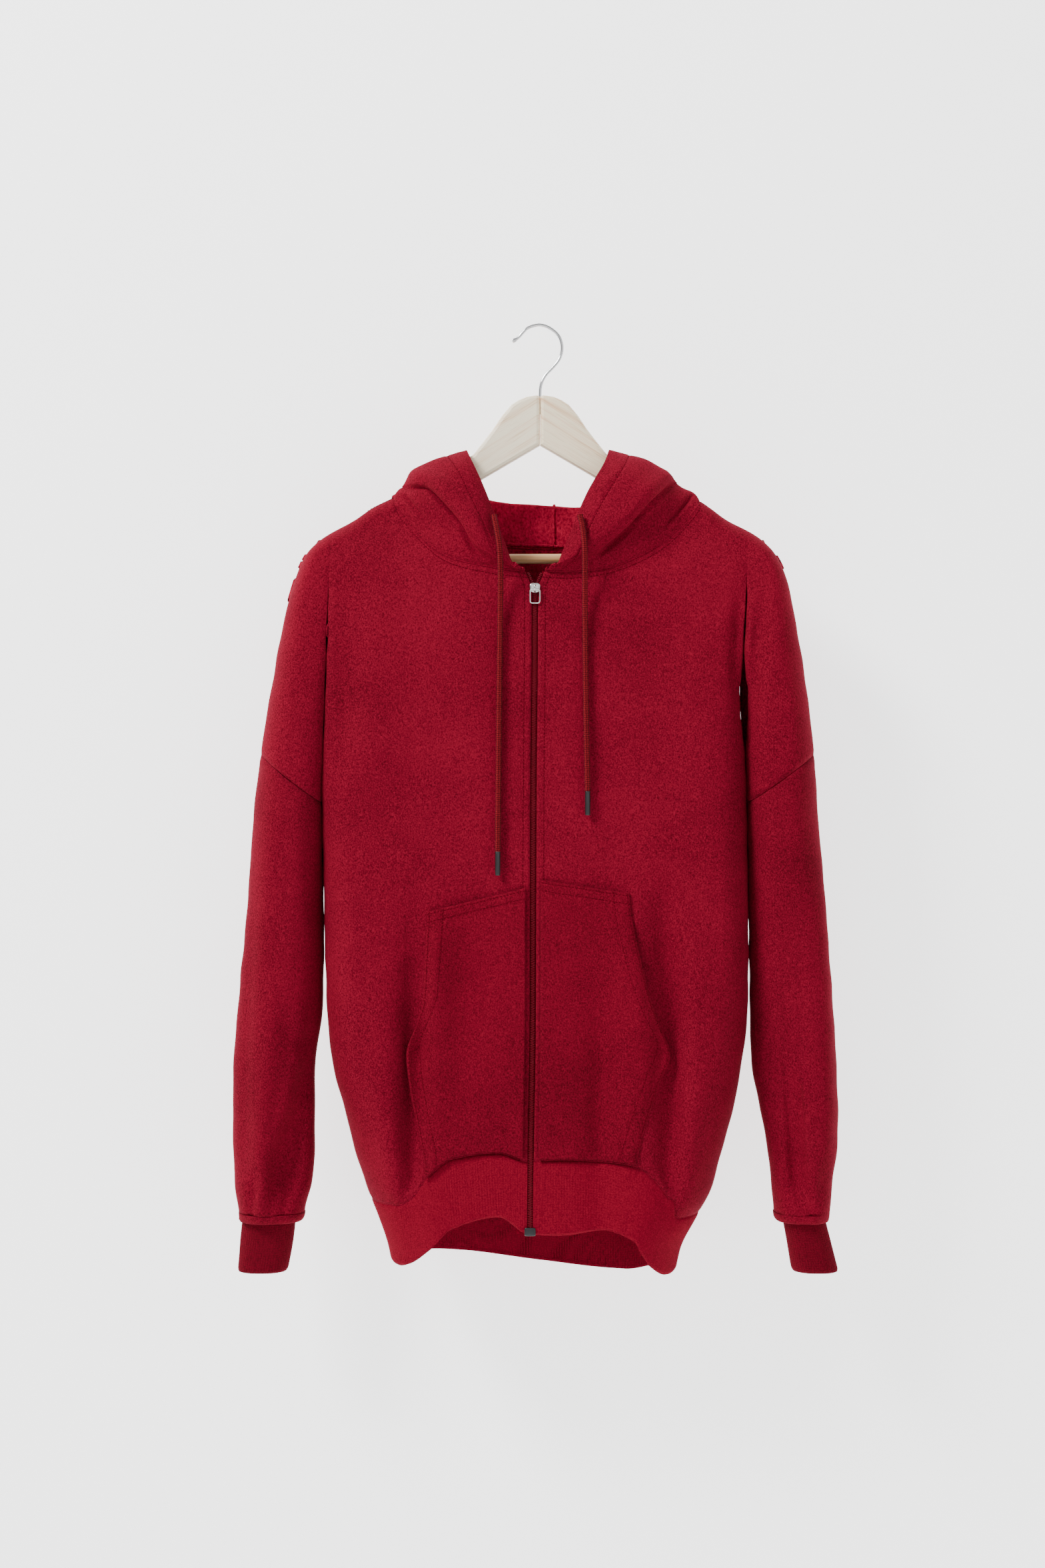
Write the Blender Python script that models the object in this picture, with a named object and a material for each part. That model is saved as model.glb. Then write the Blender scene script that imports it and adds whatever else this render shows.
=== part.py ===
"""A zip up hoodie hanging on a wooden hanger, as rigid cloth walls.

Frame: +Z up, the wearer's left is +X, the wearer's front is -Y. The origin is the inner top of
the hanger's hook, where a pin or a rail carries it. Tables hold millimetres, meshes hold metres.
"""
import bmesh
import bpy
import math
import numpy as np

MM = 0.001
CLOTH = 2.2           # sweatshirt fleece, one layer
RIB = 2.8             # doubled rib of cuffs and waistband
SEAM_HALF = 0.15      # half of the gap between two sewn pieces
WELD = 0.08           # points of one piece closer than this are one point
SLANT_HALF = 0.3      # the same, measured upright, where a seam runs at a slant
NECK_GAP = 1.1        # hood stands this far above the neck edge of the body
NECK_GAP_STEEP = 2.6  # the same, measured upright, where that edge climbs to the shoulder
POCKET_GAP = 1.4      # pocket's inner face to the front panel
POCKET_PUFF = 8.5     # how far the pocket's mouth stands open
UNDERARM_Z = -560.0
SEAM_IN_Z = -428.0    # where the armhole seam sinks into the groove beside the body
SEAM_OUT_Z = -385.0   # where it crosses the outer edge of the sleeve
SLEEVE_END_Z = -797.0
CUFF_END_Z = -850.0
BULB = 8.0            # radius of the sleeve's roll over the cuff
BULB_TURN = 2.6       # how far that roll turns under, in radians
ARM_CORNER = 24.0     # how far from the groove the upper arm's cloth rounds in
SHOULDER_END_Z = -212.0
RIDGE_EASE = 2.1      # rows crowd towards the shoulder ridge by this power
SIDE_SEAM_TURN = 0.42  # the side seams hang this many radians round to the front
LEFT = -1             # the side at -X
RIGHT = 1
FRONT = -1
BACK = 1

# Zip line, and how deep the body is in front of and behind the hanger's plane.
#        z      zip_x  front  back   side_y  corner
BODY = [(-150,  -4.0,  11.0,  11.0,   0.0,   24.0),
        (-174,  -4.0,  17.0,  16.0,   0.0,   24.0),
        (-200,  -4.0,  25.0,  25.0,   0.0,   24.0),
        (-223,  -4.0,  30.0,  26.0,   0.0,   25.0),
        (-300,  -4.2,  35.0,  28.0,   0.0,   26.0),
        (-400,  -5.2,  38.0,  31.0,   1.0,   28.0),
        (-560,  -5.8,  42.0,  37.0,   2.0,   30.0),
        (-640,  -6.2,  46.0,  43.0,   2.0,   36.0),
        (-720,  -7.6,  50.0,  50.0,   3.0,   48.0),
        (-800,  -8.4,  55.0,  57.0,   4.0,   58.0),
        (-870,  -8.0,  52.0,  58.0,   4.0,   60.0)]

# Silhouette of the shoulders and of the sleeves' outer edges, as distances from x = 0.
#         z     left   right
OUTER = [(-149, 122.0, 128.0),
         (-154, 131.0, 139.0),
         (-163, 149.0, 153.0),
         (-174, 165.0, 168.0),
         (-190, 193.0, 197.0),
         (-204, 208.0, 211.0),
         (-220, 216.5, 219.5),
         (-251, 226.0, 227.5),
         (-310, 238.0, 238.0),
         (-369, 248.0, 246.0),
         (-429, 256.0, 250.0),
         (-488, 261.0, 253.5),
         (-548, 266.0, 259.0),
         (-607, 271.5, 263.5),
         (-666, 275.5, 268.0),
         (-726, 276.5, 269.0),
         (-770, 274.5, 264.5),
         (-797, 271.0, 262.0)]

# Groove between body and sleeve down to the underarm, then the two edges of the gap.
#         z    body_l body_r slv_l  slv_r  sink_l sink_r
INNER = [(-185, 185.0, 184.0, 185.0, 184.0, 0.00, 0.00),
         (-235, 187.0, 184.0, 187.0, 184.0, 0.06, 0.10),
         (-300, 189.0, 181.5, 189.0, 181.5, 0.16, 0.28),
         (-370, 192.0, 183.5, 192.0, 183.5, 0.34, 0.62),
         (-430, 194.0, 186.0, 194.0, 186.0, 0.58, 0.78),
         (-500, 194.0, 187.5, 194.0, 187.5, 0.84, 0.92),
         (-560, 193.0, 188.5, 193.6, 189.1, 1.00, 1.00),
         (-620, 190.5, 187.5, 195.5, 190.0, 1.00, 1.00),
         (-660, 186.5, 182.5, 201.0, 191.5, 1.00, 1.00),
         (-700, 176.0, 175.5, 202.0, 198.0, 1.00, 1.00),
         (-740, 166.0, 165.0, 202.5, 206.0, 1.00, 1.00),
         (-770, 156.5, 157.0, 205.0, 209.0, 1.00, 1.00),
         (-800, 145.0, 142.0, 211.0, 211.0, 1.00, 1.00),
         (-830, 135.0, 127.0, 211.0, 211.0, 1.00, 1.00),
         (-870, 128.0, 119.0, 211.0, 211.0, 1.00, 1.00)]

# Sleeve tubes: depth before and behind their middle, the middle, and the front roll's fold line.
#          z    front  back  mid_y  fold_l fold_r  step
SLEEVE = [(-385, 36.0, 32.0,  0.0,  210.0, 222.0,  0.0),
          (-560, 34.0, 32.0,  2.0,  204.0, 222.0,  3.0),
          (-620, 33.0, 31.0,  3.0,  206.0, 223.0,  9.0),
          (-695, 31.0, 30.0,  4.0,  219.0, 227.0, 16.0),
          (-750, 30.0, 29.0,  5.0,  238.0, 232.0, 15.0),
          (-797, 28.0, 28.0,  5.0,  243.0, 242.0,  4.0)]

# Cuffs: inner and outer distance from x = 0 on each side, and the middle's depth.
#        z      in_l   out_l  in_r   out_r  mid_y
CUFF = [(-797, 219.0, 267.0, 218.5, 256.0,  5.0),
        (-822, 222.0, 270.0, 223.5, 263.0,  5.0),
        (-850, 227.0, 272.0, 228.0, 270.0,  5.0)]
CUFF_TOP_Z = -799.0
CUFF_HALF_Y = 17.0

# Large soft troughs on the fronts: signed x at the top and the bottom, and how deep and wide.
#          x_top   z_top    x_bot   z_bot   deep  wide
TROUGHS = [(-106.0, -470.0, -112.0, -790.0, 5.5, 17.0),
           (113.0,  -440.0,  115.0, -790.0, 5.5, 17.0),
           (54.0,   -540.0,   53.0, -800.0, 3.5, 15.0)]

# Lower edge of the fronts (the waistband's seam) and of the waistband, along x.
#              x      seam    band
FRONT_HEM = [(-152, -783.0, -840.0),
             (-126, -783.0, -840.0),
             (-115, -778.0, -836.0),
             (-98,  -756.0, -822.0),
             (-76,  -740.0, -801.0),
             (-36,  -735.0, -791.0),
             (-10,  -742.0, -806.0),
             (18,   -741.0, -807.0),
             (56,   -743.0, -803.0),
             (82,   -746.0, -812.0),
             (99,   -757.0, -838.0),
             (113,  -775.0, -848.0),
             (124,  -795.0, -849.0),
             (148,  -795.0, -849.0)]
BACK_HEM = [(-152, -783.0, -840.0),
            (-126, -783.0, -840.0),
            (-70,  -786.0, -843.0),
            (0,    -792.0, -852.0),
            (80,   -797.0, -860.0),
            (124,  -795.0, -849.0),
            (148,  -795.0, -849.0)]

# Kangaroo pocket: its outer edge on each front, as distance from x = 0.
#           z     left   right
POCKET = [(-500,  98.0,  79.0),
          (-524,  99.0,  81.0),
          (-570, 101.0,  90.0),
          (-602, 102.5,  98.0),
          (-625, 109.0, 106.0),
          (-650, 117.0, 115.0),
          (-680, 114.0, 104.0),
          (-710, 108.0,  94.0),
          (-745, 101.0,  84.0)]
POCKET_TOP_Z = {LEFT: (-503.0, -524.0), RIGHT: (-496.0, -508.0)}
POCKET_MOUTH_Z = (-530.0, -645.0)

# Hood ribs, neck seam to free edge. The cloth rises, tucks over, comes down to a knuckle (the
# fold over the neck in front, the crown of the pouch behind) and rises again to its free edge.
#             seam              rise              tuck              down
#             knuckle           crest             upper             rim
HOOD_LEFT = [
    [(-13, -31, -223),  (-14, -32, -222),  (-16, -33, -222),  (-17, -34, -221),
     (-19, -35, -220),  (-20, -36, -219),  (-22, -35, -218),  (-24, -34, -217)],
    [(-46, -29, -219),  (-46, -32, -214),  (-45, -34, -211),  (-44, -37, -209),
     (-43, -40, -207),  (-40, -43, -201),  (-37, -40, -194),  (-34, -35, -188)],
    [(-87, -27, -207),  (-82, -31, -196),  (-77, -32, -187),  (-75, -35, -184),
     (-72, -40, -180),  (-64, -46, -168),  (-55, -43, -156),  (-49, -36, -149)],
    [(-120, -16, -175), (-114, -21, -165), (-106, -23, -157), (-103, -26, -153),
     (-99, -31, -149),  (-86, -36, -139),  (-71, -33, -128),  (-61, -25, -122)],
    [(-131, 0, -154),   (-126, 0, -148),   (-121, 0, -144),   (-118, 0, -140),
     (-113, 0, -134),   (-97, 0, -125),    (-80, 0, -119),    (-65, 0, -112)],
    [(-98, 17, -181),   (-92, 23, -162),   (-80, 29, -142),   (-88, 36, -165),
     (-100, 41, -215),  (-94, 51, -205),   (-70, 48, -160),   (-57, 38, -130)],
    [(-45, 25, -195),   (-44, 28, -176),   (-43, 33, -157),   (-50, 39, -235),
     (-60, 46, -345),   (-56, 61, -325),   (-42, 67, -225),   (-32, 60, -167)],
    [(13.6, 25, -199),  (13.6, 29, -181),  (13.6, 34, -163),  (13.6, 41, -260),
     (13.6, 49, -395),  (13.6, 67, -372),  (13.6, 71, -250),  (13.6, 65, -174)]]
HOOD_RIGHT = [
    [(5, -31, -223),    (6, -32, -222),    (7, -33, -222),    (9, -34, -221),
     (10, -35, -220),   (12, -36, -219),   (14, -35, -218),   (16, -34, -217)],
    [(41, -29, -223),   (40, -32, -218),   (39, -34, -215),   (38, -37, -213),
     (37, -40, -211),   (34, -43, -206),   (30, -40, -199),   (25, -35, -194)],
    [(79, -27, -214),   (75, -31, -204),   (71, -32, -196),   (69, -35, -193),
     (66, -40, -189),   (58, -46, -176),   (49, -43, -163),   (41, -36, -156)],
    [(117, -17, -192),  (112, -22, -180),  (107, -24, -167),  (105, -27, -162),
     (102, -32, -156),  (87, -37, -143),   (70, -33, -132),   (57, -26, -127)],
    [(145, 0, -158),    (139, 0, -150),    (128, 0, -145),    (122, 0, -140),
     (115, 0, -134),    (98, 0, -124),     (80, 0, -117),     (63, 0, -111)],
    [(108, 17, -186),   (101, 23, -166),   (86, 29, -144),    (96, 36, -166),
     (110, 41, -215),   (102, 51, -205),   (77, 48, -160),    (60, 38, -130)],
    [(62, 25, -197),    (60, 28, -179),    (53, 33, -162),    (66, 39, -237),
     (80, 46, -345),    (75, 61, -325),    (59, 67, -225),    (48, 60, -170)],
    [(13.6, 25, -199),  (13.6, 29, -181),  (13.6, 34, -163),  (13.6, 41, -260),
     (13.6, 49, -395),  (13.6, 67, -372),  (13.6, 71, -250),  (13.6, 65, -174)]]
SHOULDER_RIB = 4      # the rib that crosses the shoulder ridge
SHOULDER_LIFT = 2.0   # there the hood clears the corner of the body panels
BACK_NECK_X = 13.6

# Drawcord routes and the points where they leave the hood's edge.
CORD_R = 2.5
CORD_LEFT = [(-40.3, -43.5, -175), (-38, -47.5, -186), (-35.6, -49.5, -200), (-34.6, -47.5, -214),
             (-34.3, -42, -232), (-34.7, -38.6, -262), (-35.2, -39.2, -310), (-35.8, -41.2, -370),
             (-36.4, -43, -430), (-36.8, -44.2, -471)]
CORD_RIGHT = [(35.6, -45.5, -175), (38, -47.5, -186), (39.4, -49.5, -200), (39.8, -47.5, -214),
              (40, -42, -232), (40.2, -38.6, -262), (40.6, -39.2, -305), (41.3, -41, -360),
              (42.4, -42.6, -418)]
AGLET_R = 2.4
AGLET_LEN = 20.5

# Hanger
WOOD_HALF_Y = 6.0
WOOD_EDGE = 3.0
HANGER_SLOPE = 0.62
ARM_END_X = 201.0
BAR_Z = -209.0
BAR_R = 4.5
BAR_X = 170.0
WIRE_R = 1.5
HOOK = [(-24.4, -13.4), (-20.6, -11.3), (-17.6, -8.7), (-14.6, -5.2), (-9.7, -0.9), (-1.8, 1.5),
        (4.2, 1.0), (10.2, -1.7), (16.2, -6.6), (19.5, -12.4), (20.6, -18.8), (19.8, -24.8),
        (17.2, -30.8), (12.2, -36.9), (6.6, -42.7), (3.2, -48.0), (1.3, -54.0), (0.8, -61.0),
        (0.8, -70.0), (0.8, -79.0)]

# Zip
SLIDER_Z = -238.0
SLIDER_W = 10.3
SLIDER_H = 8.4
BEAD_W = 2.0
TAPE_W = 13.0
TAPE_T = 0.8
ZIP_END_Z = -806.0
PANEL_TO_ZIP = 2.7    # cloth edge to the middle of the zip
PULL_DEG_Z = -239.4   # height of the pull's hinge

COLORS = {"cloth": (0.249, 0.0048, 0.018), "rib": (0.16, 0.003, 0.011), "cord": (0.19, 0.012, 0.014),
          "wood": (0.83, 0.73, 0.62), "bar": (0.49, 0.27, 0.16), "steel": (0.55, 0.55, 0.56),
          "dark": (0.03, 0.03, 0.032), "tape": (0.18, 0.004, 0.013)}


# ---------------------------------------------------------------- reading tables

def table(rows, column, at):
    """Read one column of a table at any first-column value, with smooth cubic pieces."""
    data = np.array(sorted(rows), dtype=float)
    knots = data[:, 0]
    values = data[:, column]
    slopes = np.diff(values) / np.diff(knots)
    tangents = np.zeros(len(knots))
    tangents[0] = slopes[0]
    tangents[-1] = slopes[-1]
    for i in range(1, len(knots) - 1):
        if slopes[i - 1] * slopes[i] > 0:
            tangents[i] = 2 * slopes[i - 1] * slopes[i] / (slopes[i - 1] + slopes[i])
    at = np.clip(np.asarray(at, dtype=float), knots[0], knots[-1])
    i = np.clip(np.searchsorted(knots, at) - 1, 0, len(knots) - 2)
    step = knots[i + 1] - knots[i]
    t = (at - knots[i]) / step
    return ((2 * t ** 3 - 3 * t ** 2 + 1) * values[i] + (t ** 3 - 2 * t ** 2 + t) * step * tangents[i]
            + (-2 * t ** 3 + 3 * t ** 2) * values[i + 1] + (t ** 3 - t ** 2) * step * tangents[i + 1])


def spline(points, t):
    """Follow a smooth curve through rows of points, t from 0 to 1 over equal steps."""
    points = np.asarray(points, dtype=float)
    last = len(points) - 1
    place = np.clip(np.asarray(t, dtype=float), 0, 1) * last
    i = np.minimum(place.astype(int), last - 1)
    f = (place - i).reshape((-1,) + (1,) * (points.ndim - 1))
    before = points[np.maximum(i - 1, 0)]
    start = points[i]
    end = points[i + 1]
    after = points[np.minimum(i + 2, last)]
    m0 = (end - before) / 2
    m1 = (after - start) / 2
    return ((2 * f ** 3 - 3 * f ** 2 + 1) * start + (f ** 3 - 2 * f ** 2 + f) * m0
            + (-2 * f ** 3 + 3 * f ** 2) * end + (f ** 3 - f ** 2) * m1)


def smooth(t):
    """Ease from 0 to 1 with level ends."""
    t = np.clip(t, 0, 1)
    return t * t * (3 - 2 * t)


def round_edge(distance, radius):
    """Height of a quarter round of unit height, at a distance inside its foot."""
    return np.sqrt(np.maximum(1 - (1 - np.clip(distance / radius, 0, 1)) ** 2, 0))


# ---------------------------------------------------------------- the garment's form

def zip_x(z):
    return table(BODY, 1, z)


def zip_spread(z):
    """How far each side of the open zip swings out above the slider."""
    return 0.42 * np.maximum(z - SLIDER_Z - 1.5, 0)


def outer_x(side, z):
    """Signed x of the silhouette: shoulder ridge above, sleeve's outer edge below."""
    return side * table(OUTER, 1 if side == LEFT else 2, z)


def groove_x(side, z):
    return side * table(INNER, 1 if side == LEFT else 2, z)


def sleeve_inner_x(side, z):
    return side * table(INNER, 3 if side == LEFT else 4, z)


def sink(side, z):
    """How far the groove beside the body has sunk towards the side seam, 0 to 1."""
    return table(INNER, 5 if side == LEFT else 6, z)


def ridge_z(side, x):
    """Height of the shoulder ridge over a signed x; it carries on over the neck opening."""
    rows = [(row[1 if side == LEFT else 2], row[0]) for row in OUTER[:8]]
    reach = np.abs(x)
    neck = rows[0][0]
    over_neck = rows[0][1] + HANGER_SLOPE * np.maximum(neck - reach, 0)
    return np.where(reach < neck, over_neck, table(rows, 1, reach))


def edge_distance(side, x, z):
    """Rough distance inside the silhouette, from the ridge above and the outer edge beside."""
    below = np.maximum(ridge_z(side, x) - z, 0) * 0.87
    inside = np.maximum(np.abs(outer_x(side, z)) - np.abs(x), 0)
    return np.minimum(below, inside)


def side_depth(side, face, x, z):
    """Depth of the hanging cloth from the hanger's plane, rounded in at the silhouette."""
    full = table(BODY, 2 if face == FRONT else 3, z)
    radius = np.interp(z, [-560, -300, -220, -150], [34, 26, 15, 9])
    return full * round_edge(edge_distance(side, x, z), radius)


def troughs(x, z):
    """Soft vertical troughs hanging in the fronts, as a depth taken off."""
    total = np.zeros(np.broadcast(x, z).shape)
    for x_top, z_top, x_bot, z_bot, deep, wide in TROUGHS:
        along = np.clip((z_top - z) / (z_top - z_bot), 0, 1.3)
        middle = x_top + (x_bot - x_top) * along
        total = total + deep * smooth(along * 2) * np.exp(-((x - middle) / wide) ** 2)
    return total


def body_point(side, face, c, z, seam_turn=0.0):
    """A point of the body's ring: c runs from the zip or centre back to the side.

    The ring is flat, then turns a quarter round into its side. seam_turn is how many radians
    past that quarter this piece goes round, or short of it where it is negative.
    """
    centre = BACK_NECK_X * smooth((z + 420) / 200)
    if face == FRONT:
        centre = zip_x(z) + side * (PANEL_TO_ZIP + zip_spread(z))
    edge = groove_x(side, z) - side * SEAM_HALF * smooth((SEAM_IN_Z - z) / 8)
    radius = table(BODY, 5, z)
    flat = np.abs(edge - centre) - radius
    turn = np.pi / 2 + seam_turn
    along = (1 - (1 - c) ** 1.25) * (flat + radius * turn)
    angle = np.clip((along - flat) / radius, 0, turn)
    x = np.where(along < flat, centre + side * along, edge - side * radius * (1 - np.sin(angle)))
    base = side_depth(side, face, x, z)
    other = side_depth(side, -face, x, z)
    middle = table(BODY, 4, z)
    sunk = sink(side, z)
    floor = face * base * (1 - sunk) + middle * sunk
    crest = face * base
    turned = -face * other
    if face == FRONT:
        crest = crest + troughs(x, z)
    else:
        turned = turned + troughs(x, z)
    y = np.where(angle <= np.pi / 2, floor + (crest - floor) * np.cos(angle),
                 floor + (turned - floor) * -np.cos(angle))
    return x, y


def upper_arm_y(side, face, x, z):
    """Depth of the cloth between the groove and the outer edge, above the armhole seam."""
    base = face * side_depth(side, face, x, z)
    sunk = sink(side, z)
    floor = base * (1 - sunk) + table(BODY, 4, z) * sunk
    off_groove = np.abs(x - sleeve_inner_x(side, z))
    return floor + (base - floor) * round_edge(off_groove, ARM_CORNER)


def groove_floor(side, face, z):
    """Depth of the groove's floor between body and sleeve."""
    sunk = sink(side, z)
    hang = face * side_depth(side, face, groove_x(side, z), z)
    return hang * (1 - sunk) + table(BODY, 4, z) * sunk


def sleeve_point(side, face, c, z):
    """A point of the sleeve's ring: c runs from the inner edge to the outer edge."""
    inner = sleeve_inner_x(side, z) + side * SEAM_HALF * smooth((SEAM_IN_Z - z) / 8)
    outer = outer_x(side, z)
    share = (1 - np.cos(np.pi * c)) / 2
    x = inner + (outer - inner) * share
    blend = smooth((SEAM_IN_Z - z) / 90)
    oval = np.sqrt(np.maximum(1 - np.abs(2 * share - 1) ** 2.4, 0))
    tube = table(SLEEVE, 1 if face == FRONT else 2, z) * np.where(share > 0.5, oval, 1)
    crest = (side_depth(side, face, x, z) * (1 - blend) + tube * blend) * face
    crest = crest + table(SLEEVE, 3, z) * blend
    rise = round_edge(np.abs(x - inner), ARM_CORNER) * (1 - blend)
    rise = rise + np.where(share < 0.5, oval, 1) * blend
    below = smooth((UNDERARM_Z - z) / 60)
    floor = groove_floor(side, face, z) * (1 - below) + table(SLEEVE, 3, z) * below
    y = floor + (crest - floor) * rise
    if face == FRONT:
        fold = side * table(SLEEVE, 4 if side == LEFT else 5, z)
        step = table(SLEEVE, 6, z) * np.sin(np.pi * share) ** 0.6
        y = y + step * smooth(0.5 + (fold - x) * side / 14)
    return x, y


# ---------------------------------------------------------------- making meshes

def material(name, color, rough=0.8, metal=0.0):
    made = bpy.data.materials.new(name)
    made.use_nodes = True
    shader = made.node_tree.nodes["Principled BSDF"]
    shader.inputs["Base Color"].default_value = (*color, 1)
    shader.inputs["Roughness"].default_value = rough
    shader.inputs["Metallic"].default_value = metal
    return made


def place(name, verts, faces, look, rough=0.8, metal=0.0):
    """Make one closed object, faces turned outward, from points in millimetres."""
    mesh = bpy.data.meshes.new(name)
    mesh.from_pydata((np.asarray(verts) * MM).tolist(), [], faces)
    shape = bmesh.new()
    shape.from_mesh(mesh)
    bmesh.ops.remove_doubles(shape, verts=shape.verts, dist=1e-6)
    bmesh.ops.recalc_face_normals(shape, faces=shape.faces)
    shape.to_mesh(mesh)
    shape.free()
    mesh.shade_smooth()
    mesh.set_sharp_from_angle(angle=math.radians(50))
    made = bpy.data.objects.new(name, mesh)
    bpy.context.scene.collection.objects.link(made)
    mesh.materials.append(material(name, COLORS[look], rough, metal))
    return made


def surface(function, us, vs):
    """Points and unit normals of a surface function over a grid of its two parameters."""
    u, v = np.meshgrid(us, vs, indexing="ij")
    tiny = 2e-4
    points = np.stack(function(u, v), axis=-1)
    u0 = np.clip(u - tiny, 0, 1)
    u1 = np.clip(u + tiny, 0, 1)
    v0 = np.clip(v - tiny, 0, 1)
    v1 = np.clip(v + tiny, 0, 1)
    along_u = np.stack(function(u1, v), axis=-1) - np.stack(function(u0, v), axis=-1)
    along_v = np.stack(function(u, v1), axis=-1) - np.stack(function(u, v0), axis=-1)
    normals = np.cross(along_u, along_v)
    normals /= np.maximum(np.linalg.norm(normals, axis=-1, keepdims=True), 1e-12)
    return points, normals


def wall(name, blocks, look, thick=CLOTH):
    """Give thickness to one or more grid surfaces that share edges, and close their rims.

    Each block is (points, normals); normals point out of the garment, the wall grows inward.
    """
    points = np.zeros((0, 3))
    normals = np.zeros((0, 3))
    quads = []
    for grid, normal in blocks:
        ids = np.zeros(grid.shape[:2], dtype=int)
        for i in range(grid.shape[0]):
            for j in range(grid.shape[1]):
                near = np.flatnonzero(np.abs(points - grid[i, j]).max(axis=1) < WELD)
                if len(near) == 0:
                    near = [len(points)]
                    points = np.vstack([points, grid[i, j]])
                    normals = np.vstack([normals, np.zeros(3)])
                ids[i, j] = near[0]
                normals[near[0]] += normal[i, j]
        facing = np.cross(grid[1:, 1:] - grid[:-1, :-1], grid[:-1, 1:] - grid[1:, :-1])
        order = 1 if np.sum(facing * normal[:-1, :-1]) > 0 else -1
        for i in range(grid.shape[0] - 1):
            for j in range(grid.shape[1] - 1):
                quad = (ids[i, j], ids[i + 1, j], ids[i + 1, j + 1], ids[i, j + 1])
                quads.append(quad[::order])
    normals /= np.linalg.norm(normals, axis=1, keepdims=True)
    quads = [tuple(dict.fromkeys(int(i) for i in quad)) for quad in quads]
    quads = [quad for quad in quads if len(quad) > 2]
    count = len(points)
    edges = {}
    for quad in quads:
        for start, end in zip(quad, quad[1:] + quad[:1]):
            if (end, start) in edges:
                del edges[(end, start)]
            else:
                edges[(start, end)] = True
    inner = [tuple(i + count for i in reversed(quad)) for quad in quads]
    rims = [(end, start, start + count, end + count) for start, end in edges]
    verts = np.vstack([points, points - normals * thick])
    return place(name, verts, quads + inner + rims, look)


def ridge_normals(line):
    """Outward directions, in the hanger's plane, along a stretch of the silhouette."""
    along = np.gradient(line, axis=0)
    across = np.stack([-along[:, 2], np.zeros(len(line)), along[:, 0]], axis=-1)
    across /= np.linalg.norm(across, axis=1, keepdims=True)
    flip = np.sign(np.sum(across * (line - np.array([0, 0, -600])), axis=1, keepdims=True))
    return across * flip


def outward(points, normals, middle):
    """Turn a block's normals so that they point away from a middle point."""
    away = np.sum(normals * (points - np.asarray(middle)), axis=-1)
    flip = -1.0 if away.mean() < 0 else 1.0
    return points, normals * flip


def swept(name, path, radii, look, sides=8, rough=0.4, metal=0.0):
    """A round bar of changing radius along a path, with flat ends."""
    path = np.asarray(path, dtype=float)
    tangents = np.gradient(path, axis=0)
    tangents /= np.linalg.norm(tangents, axis=1, keepdims=True)
    across = np.array([0.0, 1.0, 0.0])
    rings = []
    for point, tangent, radius in zip(path, tangents, radii):
        one = np.cross(tangent, across)
        one /= np.linalg.norm(one)
        two = np.cross(tangent, one)
        for k in range(sides):
            angle = 2 * np.pi * k / sides
            rings.append(point + radius * (np.cos(angle) * one + np.sin(angle) * two))
    faces = []
    for i in range(len(path) - 1):
        for k in range(sides):
            a = i * sides + k
            b = i * sides + (k + 1) % sides
            faces.append((a, b, b + sides, a + sides))
    faces.append(tuple(range(sides)))
    faces.append(tuple(range((len(path) - 1) * sides, len(path) * sides)))
    return place(name, rings, faces, look, rough, metal)


def box(name, low, high, look, rough=0.4, metal=0.8):
    """A block between two corners."""
    corners = [(x, y, z) for x in (low[0], high[0]) for y in (low[1], high[1]) for z in (low[2], high[2])]
    faces = [(0, 1, 3, 2), (4, 6, 7, 5), (0, 4, 5, 1), (2, 3, 7, 6), (0, 2, 6, 4), (1, 5, 7, 3)]
    return place(name, corners, faces, look, rough, metal)


def cylinder(name, centre, radius, length, axis, look, sides=24):
    """A closed cylinder about a middle point, along x or z."""
    made = bmesh.new()
    bmesh.ops.create_cone(made, cap_ends=True, segments=sides, radius1=radius * MM,
                          radius2=radius * MM, depth=length * MM)
    for vert in made.verts:
        x, y, z = vert.co
        if axis == "x":
            x, z = z, -x
        vert.co = (x + centre[0] * MM, y + centre[1] * MM, z + centre[2] * MM)
    mesh = bpy.data.meshes.new(name)
    made.to_mesh(mesh)
    made.free()
    obj = bpy.data.objects.new(name, mesh)
    bpy.context.scene.collection.objects.link(obj)
    mesh.materials.append(material(name, COLORS[look], 0.4))
    return obj


def combine(target, tool, operation):
    """Cut or join a tool shape; a tool that only helps is hidden from the build."""
    change = target.modifiers.new(tool.name, "BOOLEAN")
    change.operation = operation
    change.object = tool
    tool.hide_render = True
    tool.display_type = "WIRE"


# ---------------------------------------------------------------- hood

def hood_rib_curve(ribs, a, w):
    """Tensor spline through the hood's ribs: a round the neck, w from seam to free edge."""
    ribs = np.asarray(ribs, dtype=float)
    shape = np.broadcast(a, w).shape
    a = np.broadcast_to(a, shape).ravel()
    w = np.broadcast_to(w, shape).ravel()
    across = spline(ribs, a)
    last = ribs.shape[1] - 1
    place_w = np.clip(w, 0, 1) * last
    i = np.minimum(place_w.astype(int), last - 1)
    f = (place_w - i)[:, None]
    n = np.arange(len(a))
    before = across[n, np.maximum(i - 1, 0)]
    start = across[n, i]
    end = across[n, i + 1]
    after = across[n, np.minimum(i + 2, last)]
    m0 = (end - before) / 2
    m1 = (after - start) / 2
    points = ((2 * f ** 3 - 3 * f ** 2 + 1) * start + (f ** 3 - 2 * f ** 2 + f) * m0
              + (-2 * f ** 3 + 3 * f ** 2) * end + (f ** 3 - f ** 2) * m1)
    return points.reshape(shape + (3,))


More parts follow.
